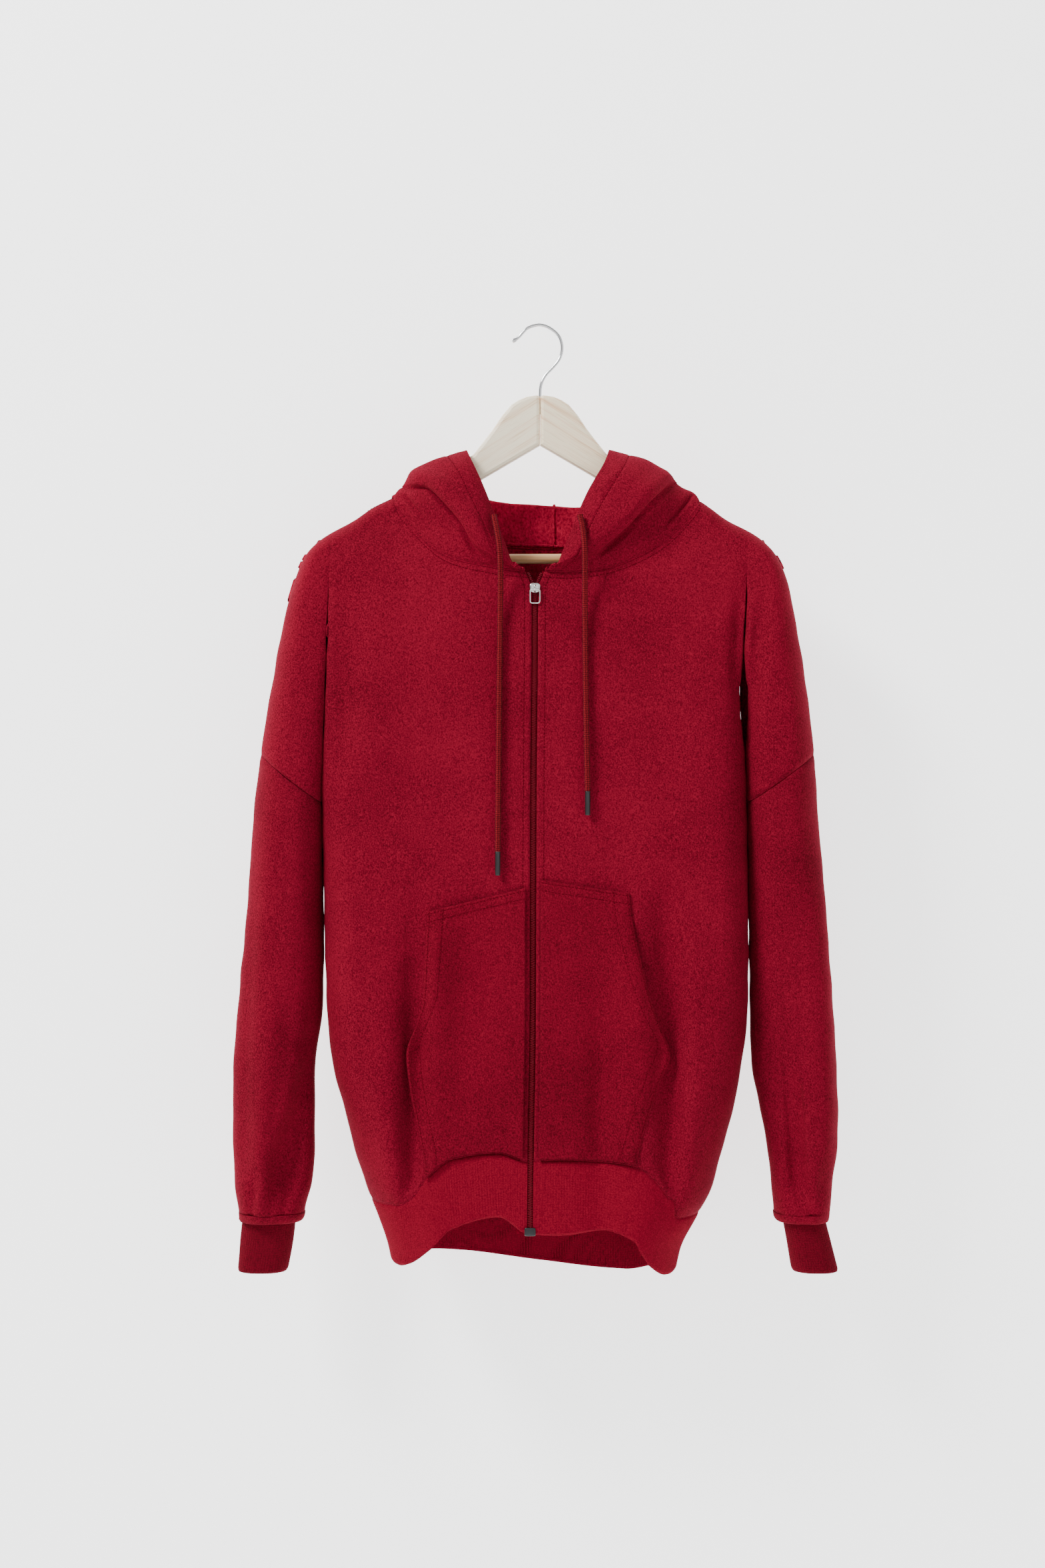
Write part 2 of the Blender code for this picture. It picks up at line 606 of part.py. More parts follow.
def neck_edge(side, x_values, back=False):
    """Height of the neck seam over x, in front from zip to shoulder, or behind."""
    ribs = HOOD_LEFT if side == LEFT else HOOD_RIGHT
    steps = np.linspace(0, SHOULDER_RIB / (len(ribs) - 1), 60)
    if back:
        steps = np.linspace(SHOULDER_RIB / (len(ribs) - 1), 1, 60)
    line = hood_rib_curve(ribs, steps, np.zeros(60))
    order = np.argsort(line[:, 0])
    return np.interp(x_values, line[order, 0], line[order, 2])


def shoulder_x(side):
    ribs = HOOD_LEFT if side == LEFT else HOOD_RIGHT
    return ribs[SHOULDER_RIB][0][0]


# ---------------------------------------------------------------- body panels

def top_edge_z(side, face, x):
    """Upper edge of a body panel: neck seam, then the shoulder ridge."""
    neck = neck_edge(side, x, back=face == BACK)
    past = np.abs(x) >= np.abs(shoulder_x(side))
    gap = NECK_GAP + (NECK_GAP_STEEP - NECK_GAP) * smooth((np.abs(x) - 70) / 40)
    return np.where(past, ridge_z(side, x), neck - gap)


def seam_turn(face, z, trim=SEAM_HALF):
    """Radians past the quarter round at which a body piece ends below the underarm."""
    past = SIDE_SEAM_TURN * smooth((UNDERARM_Z - z) / 90)
    cut = trim / table(BODY, 5, z)
    return (past if face == BACK else -past) - cut * smooth((UNDERARM_Z - z) / 4)


def hem_line(side, face, c, column, trim):
    """Where a ring position meets the table of lower edges, found by stepping towards it."""
    rows = FRONT_HEM if face == FRONT else BACK_HEM
    z = np.full(np.shape(c), -790.0)
    for _ in range(5):
        x = body_point(side, face, c, z, seam_turn(face, z, trim))[0]
        z = table(rows, column, x)
    return z


def hem_point(side, face, c, column, trim=SEAM_HALF):
    """Height of the lower seam (column 1) or the band's edge (column 2) for a ring position."""
    z = hem_line(side, face, c, column, trim)
    if face == BACK:
        ends = np.array([1.0])
        miss = hem_line(side, FRONT, ends, column, trim) - hem_line(side, BACK, ends, column, trim)
        z = z + miss * smooth(2 * c - 1)
    return z


def top_point(side, face, c):
    """Height of the upper edge for a ring position."""
    z = np.full(np.shape(c), -190.0)
    for _ in range(30):
        z = (z + top_edge_z(side, face, body_point(side, face, c, z)[0])) / 2
    return z


def ring_steps(side, face, count):
    """Ring positions of a body piece's columns, with two more where the neck meets the ridge."""
    tries = np.linspace(0, 1, 400)
    reach = np.abs(body_point(side, face, tries, np.full(400, -158.0))[0])
    corner = np.interp([abs(shoulder_x(side)) - 2.5, abs(shoulder_x(side)) + 0.2], reach, tries)
    return np.union1d(np.linspace(0, 1, count), corner)


def body_blocks(side, face, columns, rows):
    """Grids of one side of the front or the back: above the armhole seam, beside it, below."""
    def part_of(start, end, ease):
        def point(c, v):
            high = start(c)
            low = end(c)
            z = high + (low - high) * v ** ease
            x, y = body_point(side, face, c, z, seam_turn(face, z))
            on_ridge = (np.abs(x) >= np.abs(shoulder_x(side)) - 0.5) & (z > high - 0.1) & (high > -220)
            at_underarm = (c > 0.999) & (np.abs(z - UNDERARM_Z) < 0.1)
            return x, y + face * SEAM_HALF * (on_ridge | at_underarm), z
        return point

    def top(c):
        return top_point(side, face, c)

    def seam_level(c):
        return np.full(np.shape(c), SEAM_IN_Z)

    def underarm_level(c):
        return np.full(np.shape(c), UNDERARM_Z)

    def hem(c):
        return hem_point(side, face, c, 1) + SLANT_HALF

    cs = ring_steps(side, face, columns)
    spans = [(top, seam_level, RIDGE_EASE), (seam_level, underarm_level, 1.0), (underarm_level, hem, 1.0)]
    blocks = []
    for (start, end, ease), count in zip(spans, rows):
        grid = surface(part_of(start, end, ease), cs, np.linspace(0, 1, count))
        points, normals = outward(*grid, (0, 0, -500))
        if start is top:
            ridge = np.abs(points[:, 0, 0]) >= np.abs(shoulder_x(side)) - 0.5
            normals[ridge, 0] = ridge_normals(points[:, 0])[ridge]
        blocks.append((points, normals))
    return blocks


def shoulder_block(side, face, columns, rows):
    """Grid between the groove and the outer edge, shoulder ridge to armhole seam."""
    high = float(top_point(side, face, np.array([1.0]))[0])
    high_x = float(groove_x(side, high))
    end_x = float(outer_x(side, SHOULDER_END_Z))
    low_in = float(groove_x(side, SEAM_IN_Z))
    low_out = float(outer_x(side, SEAM_OUT_Z))

    def point(c, v):
        f = (1 - np.cos(np.pi * c)) / 2
        g = v ** RIDGE_EASE
        in_z = high + (SEAM_IN_Z - high) * g
        out_z = SHOULDER_END_Z + (SEAM_OUT_Z - SHOULDER_END_Z) * g
        seam_z = SEAM_IN_Z + (SEAM_OUT_Z - SEAM_IN_Z) * f
        seam_x = sleeve_inner_x(side, seam_z) * (1 - f) + outer_x(side, seam_z) * f
        straight = low_in * (1 - f) + low_out * f
        x = groove_x(side, in_z) * (1 - f) + outer_x(side, out_z) * f + g ** 2 * (seam_x - straight)
        bow = ridge_z(side, high_x * (1 - f) + end_x * f) - (high * (1 - f) + SHOULDER_END_Z * f)
        z = in_z * (1 - f) + out_z * f + (1 - g) ** 2 * bow
        on_edge = (v < 1e-3) | (c > 0.999)
        return x, upper_arm_y(side, face, x, z) + face * SEAM_HALF * on_edge, z + SLANT_HALF * (v > 0.999)

    grid = surface(point, np.linspace(0, 1, columns), np.linspace(0, 1, rows))
    points, normals = outward(*grid, (side * 215, 0, -330))
    normals[:, 0] = ridge_normals(points[:, 0])
    normals[-1, :-1] = ridge_normals(points[-1, :-1])
    return points, normals


def sleeve_blocks(side, face, columns, rows):
    """Grids of one half of a sleeve: armhole seam to underarm, and on to the cuff."""
    def upper(c, v):
        share = (1 - np.cos(np.pi * c)) / 2
        seam = SEAM_IN_Z + (SEAM_OUT_Z - SEAM_IN_Z) * share - SLANT_HALF
        z = seam + (UNDERARM_Z - seam) * v
        return (*sleeve_point(side, face, c, z), z)

    def lower(c, v):
        z = UNDERARM_Z + (SLEEVE_END_Z - UNDERARM_Z) * v + 0 * c
        return (*sleeve_point(side, face, c, z), z)

    def bulb(c, v):
        turn = v * BULB_TURN
        x0, y0 = sleeve_point(side, face, c, SLEEVE_END_Z + 0 * c)
        z = SLEEVE_END_Z - BULB * np.sin(turn)
        x1, y1 = cuff_point(side, face, c, z, 0.7)
        share = (1 - np.cos(turn)) / (1 - math.cos(BULB_TURN))
        return x0 + (x1 - x0) * share, y0 + (y1 - y0) * share, z

    cs = np.linspace(0, 1, columns)
    middle = (side * 238, 0, -600)
    blocks = []
    for function, count in zip((upper, lower, bulb), rows):
        points, normals = surface(function, cs, np.linspace(0, 1, count))
        if function is upper:
            reference = outward(points, normals, middle)
            sign = np.sign(np.sum(reference[1] * normals))
        blocks.append((points, normals * sign))
    return blocks


def cuff_point(side, face, c, z, extra=0.0):
    """A point of the cuff's flattened ring; extra grows it outward."""
    share = (1 - np.cos(np.pi * c)) / 2
    inner = table(CUFF, 1 if side == LEFT else 3, z) - extra
    outer = table(CUFF, 2 if side == LEFT else 4, z) + extra
    reach = inner + (outer - inner) * share
    y = table(CUFF, 5, z) + face * (CUFF_HALF_Y + extra) * np.maximum(1 - np.abs(2 * share - 1) ** 2.4, 0) ** 0.5
    return side * reach, y


def cuff_blocks(side, columns, rows):
    blocks = []
    for face in (FRONT, BACK):
        def point(c, v, face=face):
            z = CUFF_TOP_Z + (CUFF_END_Z - CUFF_TOP_Z) * v
            return (*cuff_point(side, face, c, z), z)
        grid = surface(point, np.linspace(0, 1, columns), np.linspace(0, 1, rows))
        blocks.append(outward(*grid, (side * 244, 4, -825)))
    return blocks


def band_blocks(columns_front, columns_back, rows):
    """Grids of the waistband, all round from one side of the zip to the other."""
    blocks = []
    for side in (LEFT, RIGHT):
        for face, columns in ((FRONT, columns_front), (BACK, columns_back)):
            def point(c, v, side=side, face=face):
                high = hem_point(side, face, c, 1, 0.0) - SLANT_HALF
                low = hem_point(side, face, c, 2, 0.0)
                z = high + (low - high) * v
                x, y = body_point(side, face, c, z, seam_turn(face, z, 0.0))
                return x, y, z
            grid = surface(point, ring_steps(side, face, columns), np.linspace(0, 1, rows))
            blocks.append(outward(*grid, (0, 0, -800)))
    return blocks


def hood_block(side, columns, rows):
    ribs = HOOD_LEFT if side == LEFT else HOOD_RIGHT
    last = len(ribs) - 1

    def point(a, w):
        points = hood_rib_curve(ribs, a, w)
        seam = hood_rib_curve(ribs, a, np.zeros(a.shape))
        front = -side_depth(side, FRONT, seam[..., 0], seam[..., 2])
        back = side_depth(side, BACK, seam[..., 0], seam[..., 2])
        past = smooth((a * last - SHOULDER_RIB + 0.08) / 0.16)
        shift = (front * (1 - past) + back * past - seam[..., 1]) * smooth(1 - w * 6)
        lift = SHOULDER_LIFT * np.exp(-((a * last - SHOULDER_RIB) / 0.45) ** 2) * smooth(1 - w * 6)
        return points[..., 0] + side * SEAM_HALF * a, points[..., 1] + shift, points[..., 2] + lift

    points, normals = surface(point, np.linspace(0, 1, columns), np.linspace(0, 1, rows))
    if normals[columns // 4, 0, 1] > 0:
        normals = -normals
    normals[0] = (0, -1, 0)
    normals[-1, :, 0] = 0
    normals[-1] /= np.linalg.norm(normals[-1], axis=-1, keepdims=True)
    return points, normals


def pocket_block(side, columns, rows):
    """Grid of one pocket: the front panel's own points, moved out."""
    high_in, high_out = POCKET_TOP_Z[side]
    mouth_high, mouth_low = POCKET_MOUTH_Z

    def point(c, v):
        top = high_in + (high_out - high_in) * c
        low = table(FRONT_HEM, 1, side * 60 * c) + 0.0 * v
        z = top + (low - top) * v
        for _ in range(4):
            reach = side * table(POCKET, 1 if side == LEFT else 2, z)
            start = zip_x(z) + side * (PANEL_TO_ZIP + 4.0)
            x = start + (reach - start) * c
            low = table(FRONT_HEM, 1, x) + 1.5
            z = top + (low - top) * v
        y = -side_depth(side, FRONT, x, z) + troughs(x, z)
        mouth = np.sin(np.pi * np.clip((mouth_high - z) / (mouth_high - mouth_low), 0, 1))
        lift = POCKET_GAP + CLOTH + POCKET_PUFF * mouth * smooth((c - 0.35) / 0.65)
        return x, y - lift, z

    grid = surface(point, np.linspace(0, 1, columns), np.linspace(0, 1, rows))
    return outward(*grid, (0, 200, -600))


# ---------------------------------------------------------------- zip

def front_y(side, z):
    """Depth of the front panel's outer face at its zip edge."""
    x = zip_x(z) + side * (PANEL_TO_ZIP + zip_spread(z))
    return -side_depth(side, FRONT, x, z) + troughs(x, z)


def zip_half(side):
    """Tape and coil bead of one side, as one section carried down the zip line."""
    zs = np.concatenate([[-224, -229, SLIDER_Z + 3.5, SLIDER_Z - 1], np.linspace(-262, ZIP_END_Z, 17)])
    verts = []
    for z in zs:
        spread = SEAM_HALF + float(zip_spread(z))
        x = float(zip_x(z)) + side * spread
        y = float(front_y(side, z))
        tape = y + RIB + 0.5
        section = [(0, y - 0.2), (BEAD_W, y - 0.2), (BEAD_W, tape), (TAPE_W, tape),
                   (TAPE_W, tape + TAPE_T), (0, tape + TAPE_T)]
        verts += [(x + side * across, deep, z) for across, deep in section]
    n = 6
    faces = []
    for i in range(len(zs) - 1):
        for k in range(n):
            a = i * n + k
            b = i * n + (k + 1) % n
            faces.append((a, b, b + n, a + n))
    faces.append(tuple(range(n)))
    faces.append(tuple(range((len(zs) - 1) * n, len(zs) * n)))
    name = "zip_left" if side == LEFT else "zip_right"
    return place(name, verts, faces, "tape")


def zip_metal():
    """Slider with its bridge, the pull on the bridge's axis, and the box at the bottom."""
    z = SLIDER_Z
    x = float(zip_x(z))
    y = float(front_y(LEFT, z))
    half = SLIDER_W / 2
    face = y - 0.6
    slider = box("zip_slider", (x - half, face - 1.5, z - SLIDER_H / 2), (x + half, face, z + SLIDER_H / 2),
                 "steel", 0.3, 1.0)
    behind = y + RIB + 0.5 + TAPE_T + 0.5
    back_plate = box("slider_back", (x - half + 1, behind, z - SLIDER_H / 2 + 0.5),
                     (x + half - 1, behind + 1.3, z + SLIDER_H / 2 - 0.5), "steel")
    post = box("slider_post", (x - 0.6, face - 0.5, z + SLIDER_H / 2 - 1.6),
               (x + 0.6, behind + 0.6, z + SLIDER_H / 2 - 0.8), "steel")
    bridge = box("slider_bridge", (x - 1.5, face - 4.4, z - SLIDER_H / 2 + 0.6),
                 (x + 1.5, face - 0.5, z + SLIDER_H / 2 - 0.8), "steel")
    eye = box("slider_eye", (x - 3, face - 3.5, PULL_DEG_Z - 1.25), (x + 3, face - 1.5 + 0.02, PULL_DEG_Z + 1.25),
              "steel")
    combine(bridge, eye, "DIFFERENCE")
    for extra in (back_plate, post, bridge):
        combine(slider, extra, "UNION")

    axis_y = face - 2.5
    pull_half = 4.3
    wire = 0.65
    path = [(x - 0.0, 0.0), (x + pull_half - 1.6, 0.0), (x + pull_half - 0.5, -0.5), (x + pull_half, -1.6),
            (x + pull_half, -10.4), (x + pull_half - 0.5, -11.6), (x + pull_half - 1.7, -12.1),
            (x - pull_half + 1.7, -12.1), (x - pull_half + 0.5, -11.6), (x - pull_half, -10.4),
            (x - pull_half, -1.6), (x - pull_half + 0.5, -0.5), (x - pull_half + 1.6, 0.0)]
    ring = bpy.data.curves.new("zip_pull", "CURVE")
    ring.dimensions = "3D"
    ring.bevel_depth = wire * MM
    ring.bevel_resolution = 2
    line = ring.splines.new("POLY")
    line.points.add(len(path) - 1)
    for point, (px, pz) in zip(line.points, path):
        point.co = ((px - x) * MM, 0, pz * MM, 1)
    line.use_cyclic_u = True
    pull = bpy.data.objects.new("zip_pull", ring)
    pull.location = (x * MM, axis_y * MM, PULL_DEG_Z * MM)
    bpy.context.scene.collection.objects.link(pull)
    ring.materials.append(material("zip_pull", COLORS["steel"], 0.3, 1.0))

    low = ZIP_END_Z
    x_end = float(zip_x(low))
    y_end = float(front_y(LEFT, low))
    box("zip_box", (x_end - 5, y_end - 1.9, low - 1.0), (x_end + 5, y_end - 0.5, low + 6.5), "dark", 0.4, 0.9)


# ---------------------------------------------------------------- hanger and cords

def arm_top(reach):
    """Height of the wood's upper edge over the distance from the hanger's middle."""
    table_rows = [(0, -61.8), (12, -63.6), (26, -71.0), (34, -80.5), (42, -92.5), (60, -115.5)]
    slope = -115.5 - HANGER_SLOPE * np.maximum(reach - 60, 0)
    return np.where(reach < 60, table(table_rows, 1, reach), slope)


def hanger_arm(side):
    """One arm: an outline in the hanger's plane, extruded and bevelled, mitred at the middle."""
    middle = 0.8
    reaches = [0, 6, 12, 19, 26, 34, 42, 51, 60, 95, 130, 165, 186, 194]
    upper = [(r, float(arm_top(r))) for r in reaches]
    end_z = float(arm_top(ARM_END_X - 8)) - 12
    tip = [(ARM_END_X - 8 + 8 * math.cos(t), end_z + 11 * math.sin(t)) for t in (1.1, 0.55, 0, -0.6, -1.2)]
    lower = [(186, float(arm_top(186)) - 25), (130, float(arm_top(130)) - 25.5), (54, -138.5), (0, -107.0)]
    outline = [(middle + side * max(x, 0.15), z) for x, z in upper + tip + lower]
    mesh = bpy.data.meshes.new("hanger_arm")
    shape = bmesh.new()
    ring = [shape.verts.new((x * MM, -WOOD_HALF_Y * MM, z * MM)) for x, z in outline]
    face = shape.faces.new(ring)
    grown = bmesh.ops.extrude_face_region(shape, geom=[face])
    moved = [item for item in grown["geom"] if isinstance(item, bmesh.types.BMVert)]
    bmesh.ops.translate(shape, verts=moved, vec=(0, 2 * WOOD_HALF_Y * MM, 0))
    bmesh.ops.recalc_face_normals(shape, faces=shape.faces)
    shape.to_mesh(mesh)
    shape.free()
    name = "hanger_arm_left" if side == LEFT else "hanger_arm_right"
    arm = bpy.data.objects.new(name, mesh)
    bpy.context.scene.collection.objects.link(arm)
    mesh.materials.append(material(name, COLORS["wood"], 0.45))
    soft = arm.modifiers.new("rounded", "BEVEL")
    soft.width = WOOD_EDGE * MM
    soft.segments = 2
    soft.limit_method = "ANGLE"
    soft.angle_limit = math.radians(60)
    shank = cylinder(name + "_hook_hole", (0.8, 0, -66), WIRE_R + 0.3, 32, "z", "wood", 16)
    socket = cylinder(name + "_bar_hole", (side * (BAR_X - 19.7), 0, BAR_Z), BAR_R + 0.3, 40, "x", "wood", 20)
    combine(arm, shank, "DIFFERENCE")
    combine(arm, socket, "DIFFERENCE")


def hanger_hook():
    points = [(x, 0.0, z) for x, z in HOOK]
    path = spline(points, np.linspace(0, 1, 44))
    radii = np.full(len(path), WIRE_R)
    radii[:4] = (1.1, 2.0, 2.0, 1.6)
    return swept("hanger_hook", path, radii, "steel", 8, 0.3, 1.0)


def drawcord(name, route, tip_name):
    ring = bpy.data.curves.new(name, "CURVE")
    ring.dimensions = "3D"
    ring.bevel_depth = CORD_R * MM
    ring.bevel_resolution = 2
    ring.use_fill_caps = True
    points = spline(route, np.linspace(0, 1, 26)) * MM
    line = ring.splines.new("POLY")
    line.points.add(len(points) - 1)
    for point, co in zip(line.points, points):
        point.co = (*co, 1)
    cord = bpy.data.objects.new(name, ring)
    bpy.context.scene.collection.objects.link(cord)
    ring.materials.append(material(name, COLORS["cord"], 0.8))
    x, y, z = route[-1]
    path = [(x, y, z - 0.3), (x, y, z - 0.3 - AGLET_LEN)]
    swept(tip_name, path, (AGLET_R, AGLET_R), "dark", 12, 0.4)


# ---------------------------------------------------------------- build

for old in list(bpy.data.objects):
    bpy.data.objects.remove(old, do_unlink=True)

FRONT_COLUMNS = 12
BACK_COLUMNS = 10
ARM_COLUMNS = 7
BODY_ROWS = (8, 4, 8)
NAMES = {LEFT: "left", RIGHT: "right"}

for side in (LEFT, RIGHT):
    wall("front_" + NAMES[side], body_blocks(side, FRONT, FRONT_COLUMNS, BODY_ROWS)
         + [shoulder_block(side, FRONT, ARM_COLUMNS, BODY_ROWS[0])], "cloth")
wall("back", [block for side in (LEFT, RIGHT)
              for block in body_blocks(side, BACK, BACK_COLUMNS, BODY_ROWS)
              + [shoulder_block(side, BACK, ARM_COLUMNS, BODY_ROWS[0])]], "cloth")
for side in (LEFT, RIGHT):
    wall("sleeve_" + NAMES[side], [block for face in (FRONT, BACK)
                                   for block in sleeve_blocks(side, face, ARM_COLUMNS, (4, 8, 5))], "cloth")
    wall("cuff_" + NAMES[side], cuff_blocks(side, ARM_COLUMNS, 3), "rib", RIB)
    wall("hood_" + NAMES[side], [hood_block(side, 19, 15)], "cloth")
    wall("pocket_" + NAMES[side], [pocket_block(side, 7, 10)], "cloth")
    zip_half(side)
    hanger_arm(side)
wall("hem_band", band_blocks(FRONT_COLUMNS, BACK_COLUMNS, 3), "rib", RIB)
zip_metal()
cylinder("hanger_bar", (0, 0, BAR_Z), BAR_R, 2 * BAR_X, "x", "bar", 20)
hanger_hook()
drawcord("drawcord_left", CORD_LEFT, "aglet_left")
drawcord("drawcord_right", CORD_RIGHT, "aglet_right")
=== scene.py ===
"""A zip up hoodie on a wooden hanger: cloth walls with folds, seams, ribs, zip, cords and wood.

Frame: +Z up, the garment's front is -Y, the origin is the inner top of the hook. LEFT is -X, as
the front is seen. Tables hold millimetres; meshes hold metres.
"""
import math

import bmesh
import bpy
import numpy as np
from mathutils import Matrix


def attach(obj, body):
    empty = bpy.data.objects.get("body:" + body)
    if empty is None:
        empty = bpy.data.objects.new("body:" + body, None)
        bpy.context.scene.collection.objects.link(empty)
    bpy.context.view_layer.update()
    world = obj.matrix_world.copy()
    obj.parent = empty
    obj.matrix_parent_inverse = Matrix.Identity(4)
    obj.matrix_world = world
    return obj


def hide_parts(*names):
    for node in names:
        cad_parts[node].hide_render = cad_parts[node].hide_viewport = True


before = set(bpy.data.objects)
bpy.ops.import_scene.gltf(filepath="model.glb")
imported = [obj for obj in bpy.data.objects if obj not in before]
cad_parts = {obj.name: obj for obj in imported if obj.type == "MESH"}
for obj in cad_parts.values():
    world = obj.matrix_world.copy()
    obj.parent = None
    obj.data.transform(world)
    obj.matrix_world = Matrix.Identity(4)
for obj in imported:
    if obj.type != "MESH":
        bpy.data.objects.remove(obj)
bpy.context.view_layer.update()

MM = 0.001
CLOTH = 2.2           # sweatshirt fleece, one layer
RIB = 2.8             # doubled rib of cuffs and waistband
SEAM_HALF = 0.15      # half of the gap between two sewn pieces
SLANT_HALF = 0.3      # the same gap, measured upright, where a seam runs at a slant
NECK_GAP = 0.1        # the hood starts this far above the neck edge of the body
NECK_GAP_STEEP = 0.2  # the same, measured upright, where that edge climbs to the shoulder
POCKET_GAP = 1.4      # pocket's inner face to the front panel
POCKET_PUFF = 8.5     # how far the pocket's mouth stands open
UNDERARM_Z = -560.0
SEAM_IN_Z = -428.0    # where the armhole seam sinks into the groove beside the body
SEAM_OUT_Z = -385.0   # where it crosses the outer edge of the sleeve
SLEEVE_END_Z = -797.0
CUFF_END_Z = -850.0
BULB = 8.0            # radius of the sleeve's roll over the cuff
BULB_TURN = 2.6       # how far that roll turns under, in radians
ARM_CORNER = 24.0     # how far from the groove the upper arm's cloth rounds in
SHOULDER_END_Z = -212.0
RIDGE_EASE = 2.1      # rows crowd towards the shoulder ridge by this power
SIDE_SEAM_TURN = 0.42  # the side seams hang this many radians round to the front
SHELL = CLOTH - 0.2   # thickness of the cloth that shows
RIB_SHELL = RIB - 0.4
ZIP_STITCH = 6.5      # rows of stitches, in from the edge that each one follows
NECK_STITCH = 6.0
NECK_STITCHED = 62    # columns of the front's neck edge, from the zip, that the row follows
POCKET_STITCH = 2.4
POCKET_SECOND = 9.5
MOUTH_STITCH = 15.0
CASING_STITCH = 19.0
NECK_END_X = 118.0    # the dips and the row along the neck end here
SEAM_DIP = 0.6        # how far cloth sinks at a plain seam
LEFT = -1             # the side at -X
RIGHT = 1
NAMES = {LEFT: "left", RIGHT: "right"}
FRONT = -1
BACK = 1

# Zip line, and how deep the body is in front of and behind the hanger's plane.
#        z      zip_x  front  back   side_y  corner
BODY = [(-150,  -4.0,  11.0,  11.0,   0.0,   24.0),
        (-174,  -4.0,  17.0,  16.0,   0.0,   24.0),
        (-200,  -4.0,  25.0,  25.0,   0.0,   24.0),
        (-223,  -4.0,  30.0,  26.0,   0.0,   25.0),
        (-300,  -4.2,  35.0,  28.0,   0.0,   26.0),
        (-400,  -5.2,  38.0,  31.0,   1.0,   28.0),
        (-560,  -5.8,  42.0,  37.0,   2.0,   30.0),
        (-640,  -6.2,  46.0,  43.0,   2.0,   36.0),
        (-720,  -7.6,  50.0,  50.0,   3.0,   48.0),
        (-800,  -8.4,  55.0,  57.0,   4.0,   58.0),
        (-870,  -8.0,  52.0,  58.0,   4.0,   60.0)]

# Silhouette of the shoulders and of the sleeves' outer edges, as distances from x = 0.
#         z     left   right
OUTER = [(-149, 122.0, 128.0),
         (-154, 131.0, 139.0),
         (-163, 149.0, 153.0),
         (-174, 165.0, 168.0),
         (-190, 193.0, 197.0),
         (-204, 208.0, 211.0),
         (-220, 216.5, 219.5),
         (-251, 226.0, 227.5),
         (-310, 238.0, 238.0),
         (-369, 248.0, 246.0),
         (-429, 256.0, 250.0),
         (-488, 261.0, 253.5),
         (-548, 266.0, 259.0),
         (-607, 271.5, 263.5),
         (-666, 275.5, 268.0),
         (-726, 276.5, 269.0),
         (-770, 274.5, 264.5),
         (-797, 271.0, 262.0)]

# Groove between body and sleeve down to the underarm, then the two edges of the gap.
#         z    body_l body_r slv_l  slv_r  sink_l sink_r
INNER = [(-185, 185.0, 184.0, 185.0, 184.0, 0.00, 0.00),
         (-235, 187.0, 184.0, 187.0, 184.0, 0.06, 0.10),
         (-300, 189.0, 181.5, 189.0, 181.5, 0.16, 0.28),
         (-370, 192.0, 183.5, 192.0, 183.5, 0.34, 0.62),
         (-430, 194.0, 186.0, 194.0, 186.0, 0.58, 0.78),
         (-500, 194.0, 187.5, 194.0, 187.5, 0.84, 0.92),
         (-560, 193.0, 188.5, 193.6, 189.1, 1.00, 1.00),
         (-620, 190.5, 187.5, 195.5, 190.0, 1.00, 1.00),
         (-660, 186.5, 182.5, 201.0, 191.5, 1.00, 1.00),
         (-700, 176.0, 175.5, 202.0, 198.0, 1.00, 1.00),
         (-740, 166.0, 165.0, 202.5, 206.0, 1.00, 1.00),
         (-770, 156.5, 157.0, 205.0, 209.0, 1.00, 1.00),
         (-800, 145.0, 142.0, 211.0, 211.0, 1.00, 1.00),
         (-830, 135.0, 127.0, 211.0, 211.0, 1.00, 1.00),
         (-870, 128.0, 119.0, 211.0, 211.0, 1.00, 1.00)]

# Sleeve tubes: depth before and behind their middle, the middle, and the front roll's fold line.
#          z    front  back  mid_y  fold_l fold_r  step
SLEEVE = [(-385, 36.0, 32.0,  0.0,  210.0, 222.0,  0.0),
          (-560, 34.0, 32.0,  2.0,  204.0, 222.0,  3.0),
          (-620, 33.0, 31.0,  3.0,  206.0, 223.0,  9.0),
          (-695, 31.0, 30.0,  4.0,  219.0, 227.0, 16.0),
          (-750, 30.0, 29.0,  5.0,  238.0, 232.0, 15.0),
          (-797, 28.0, 28.0,  5.0,  243.0, 242.0,  4.0)]

# Cuffs: inner and outer distance from x = 0 on each side, and the middle's depth.
#        z      in_l   out_l  in_r   out_r  mid_y
CUFF = [(-797, 219.0, 267.0, 218.5, 256.0,  5.0),
        (-822, 222.0, 270.0, 223.5, 263.0,  5.0),
        (-850, 227.0, 272.0, 228.0, 270.0,  5.0)]
CUFF_TOP_Z = -799.0
CUFF_HALF_Y = 17.0

# Large soft troughs on the fronts: signed x at the top and the bottom, and how deep and wide.
#          x_top   z_top    x_bot   z_bot   deep  wide
TROUGHS = [(-106.0, -470.0, -112.0, -790.0, 5.5, 17.0),
           (113.0,  -440.0,  115.0, -790.0, 5.5, 17.0),
           (54.0,   -540.0,   53.0, -800.0, 3.5, 15.0)]

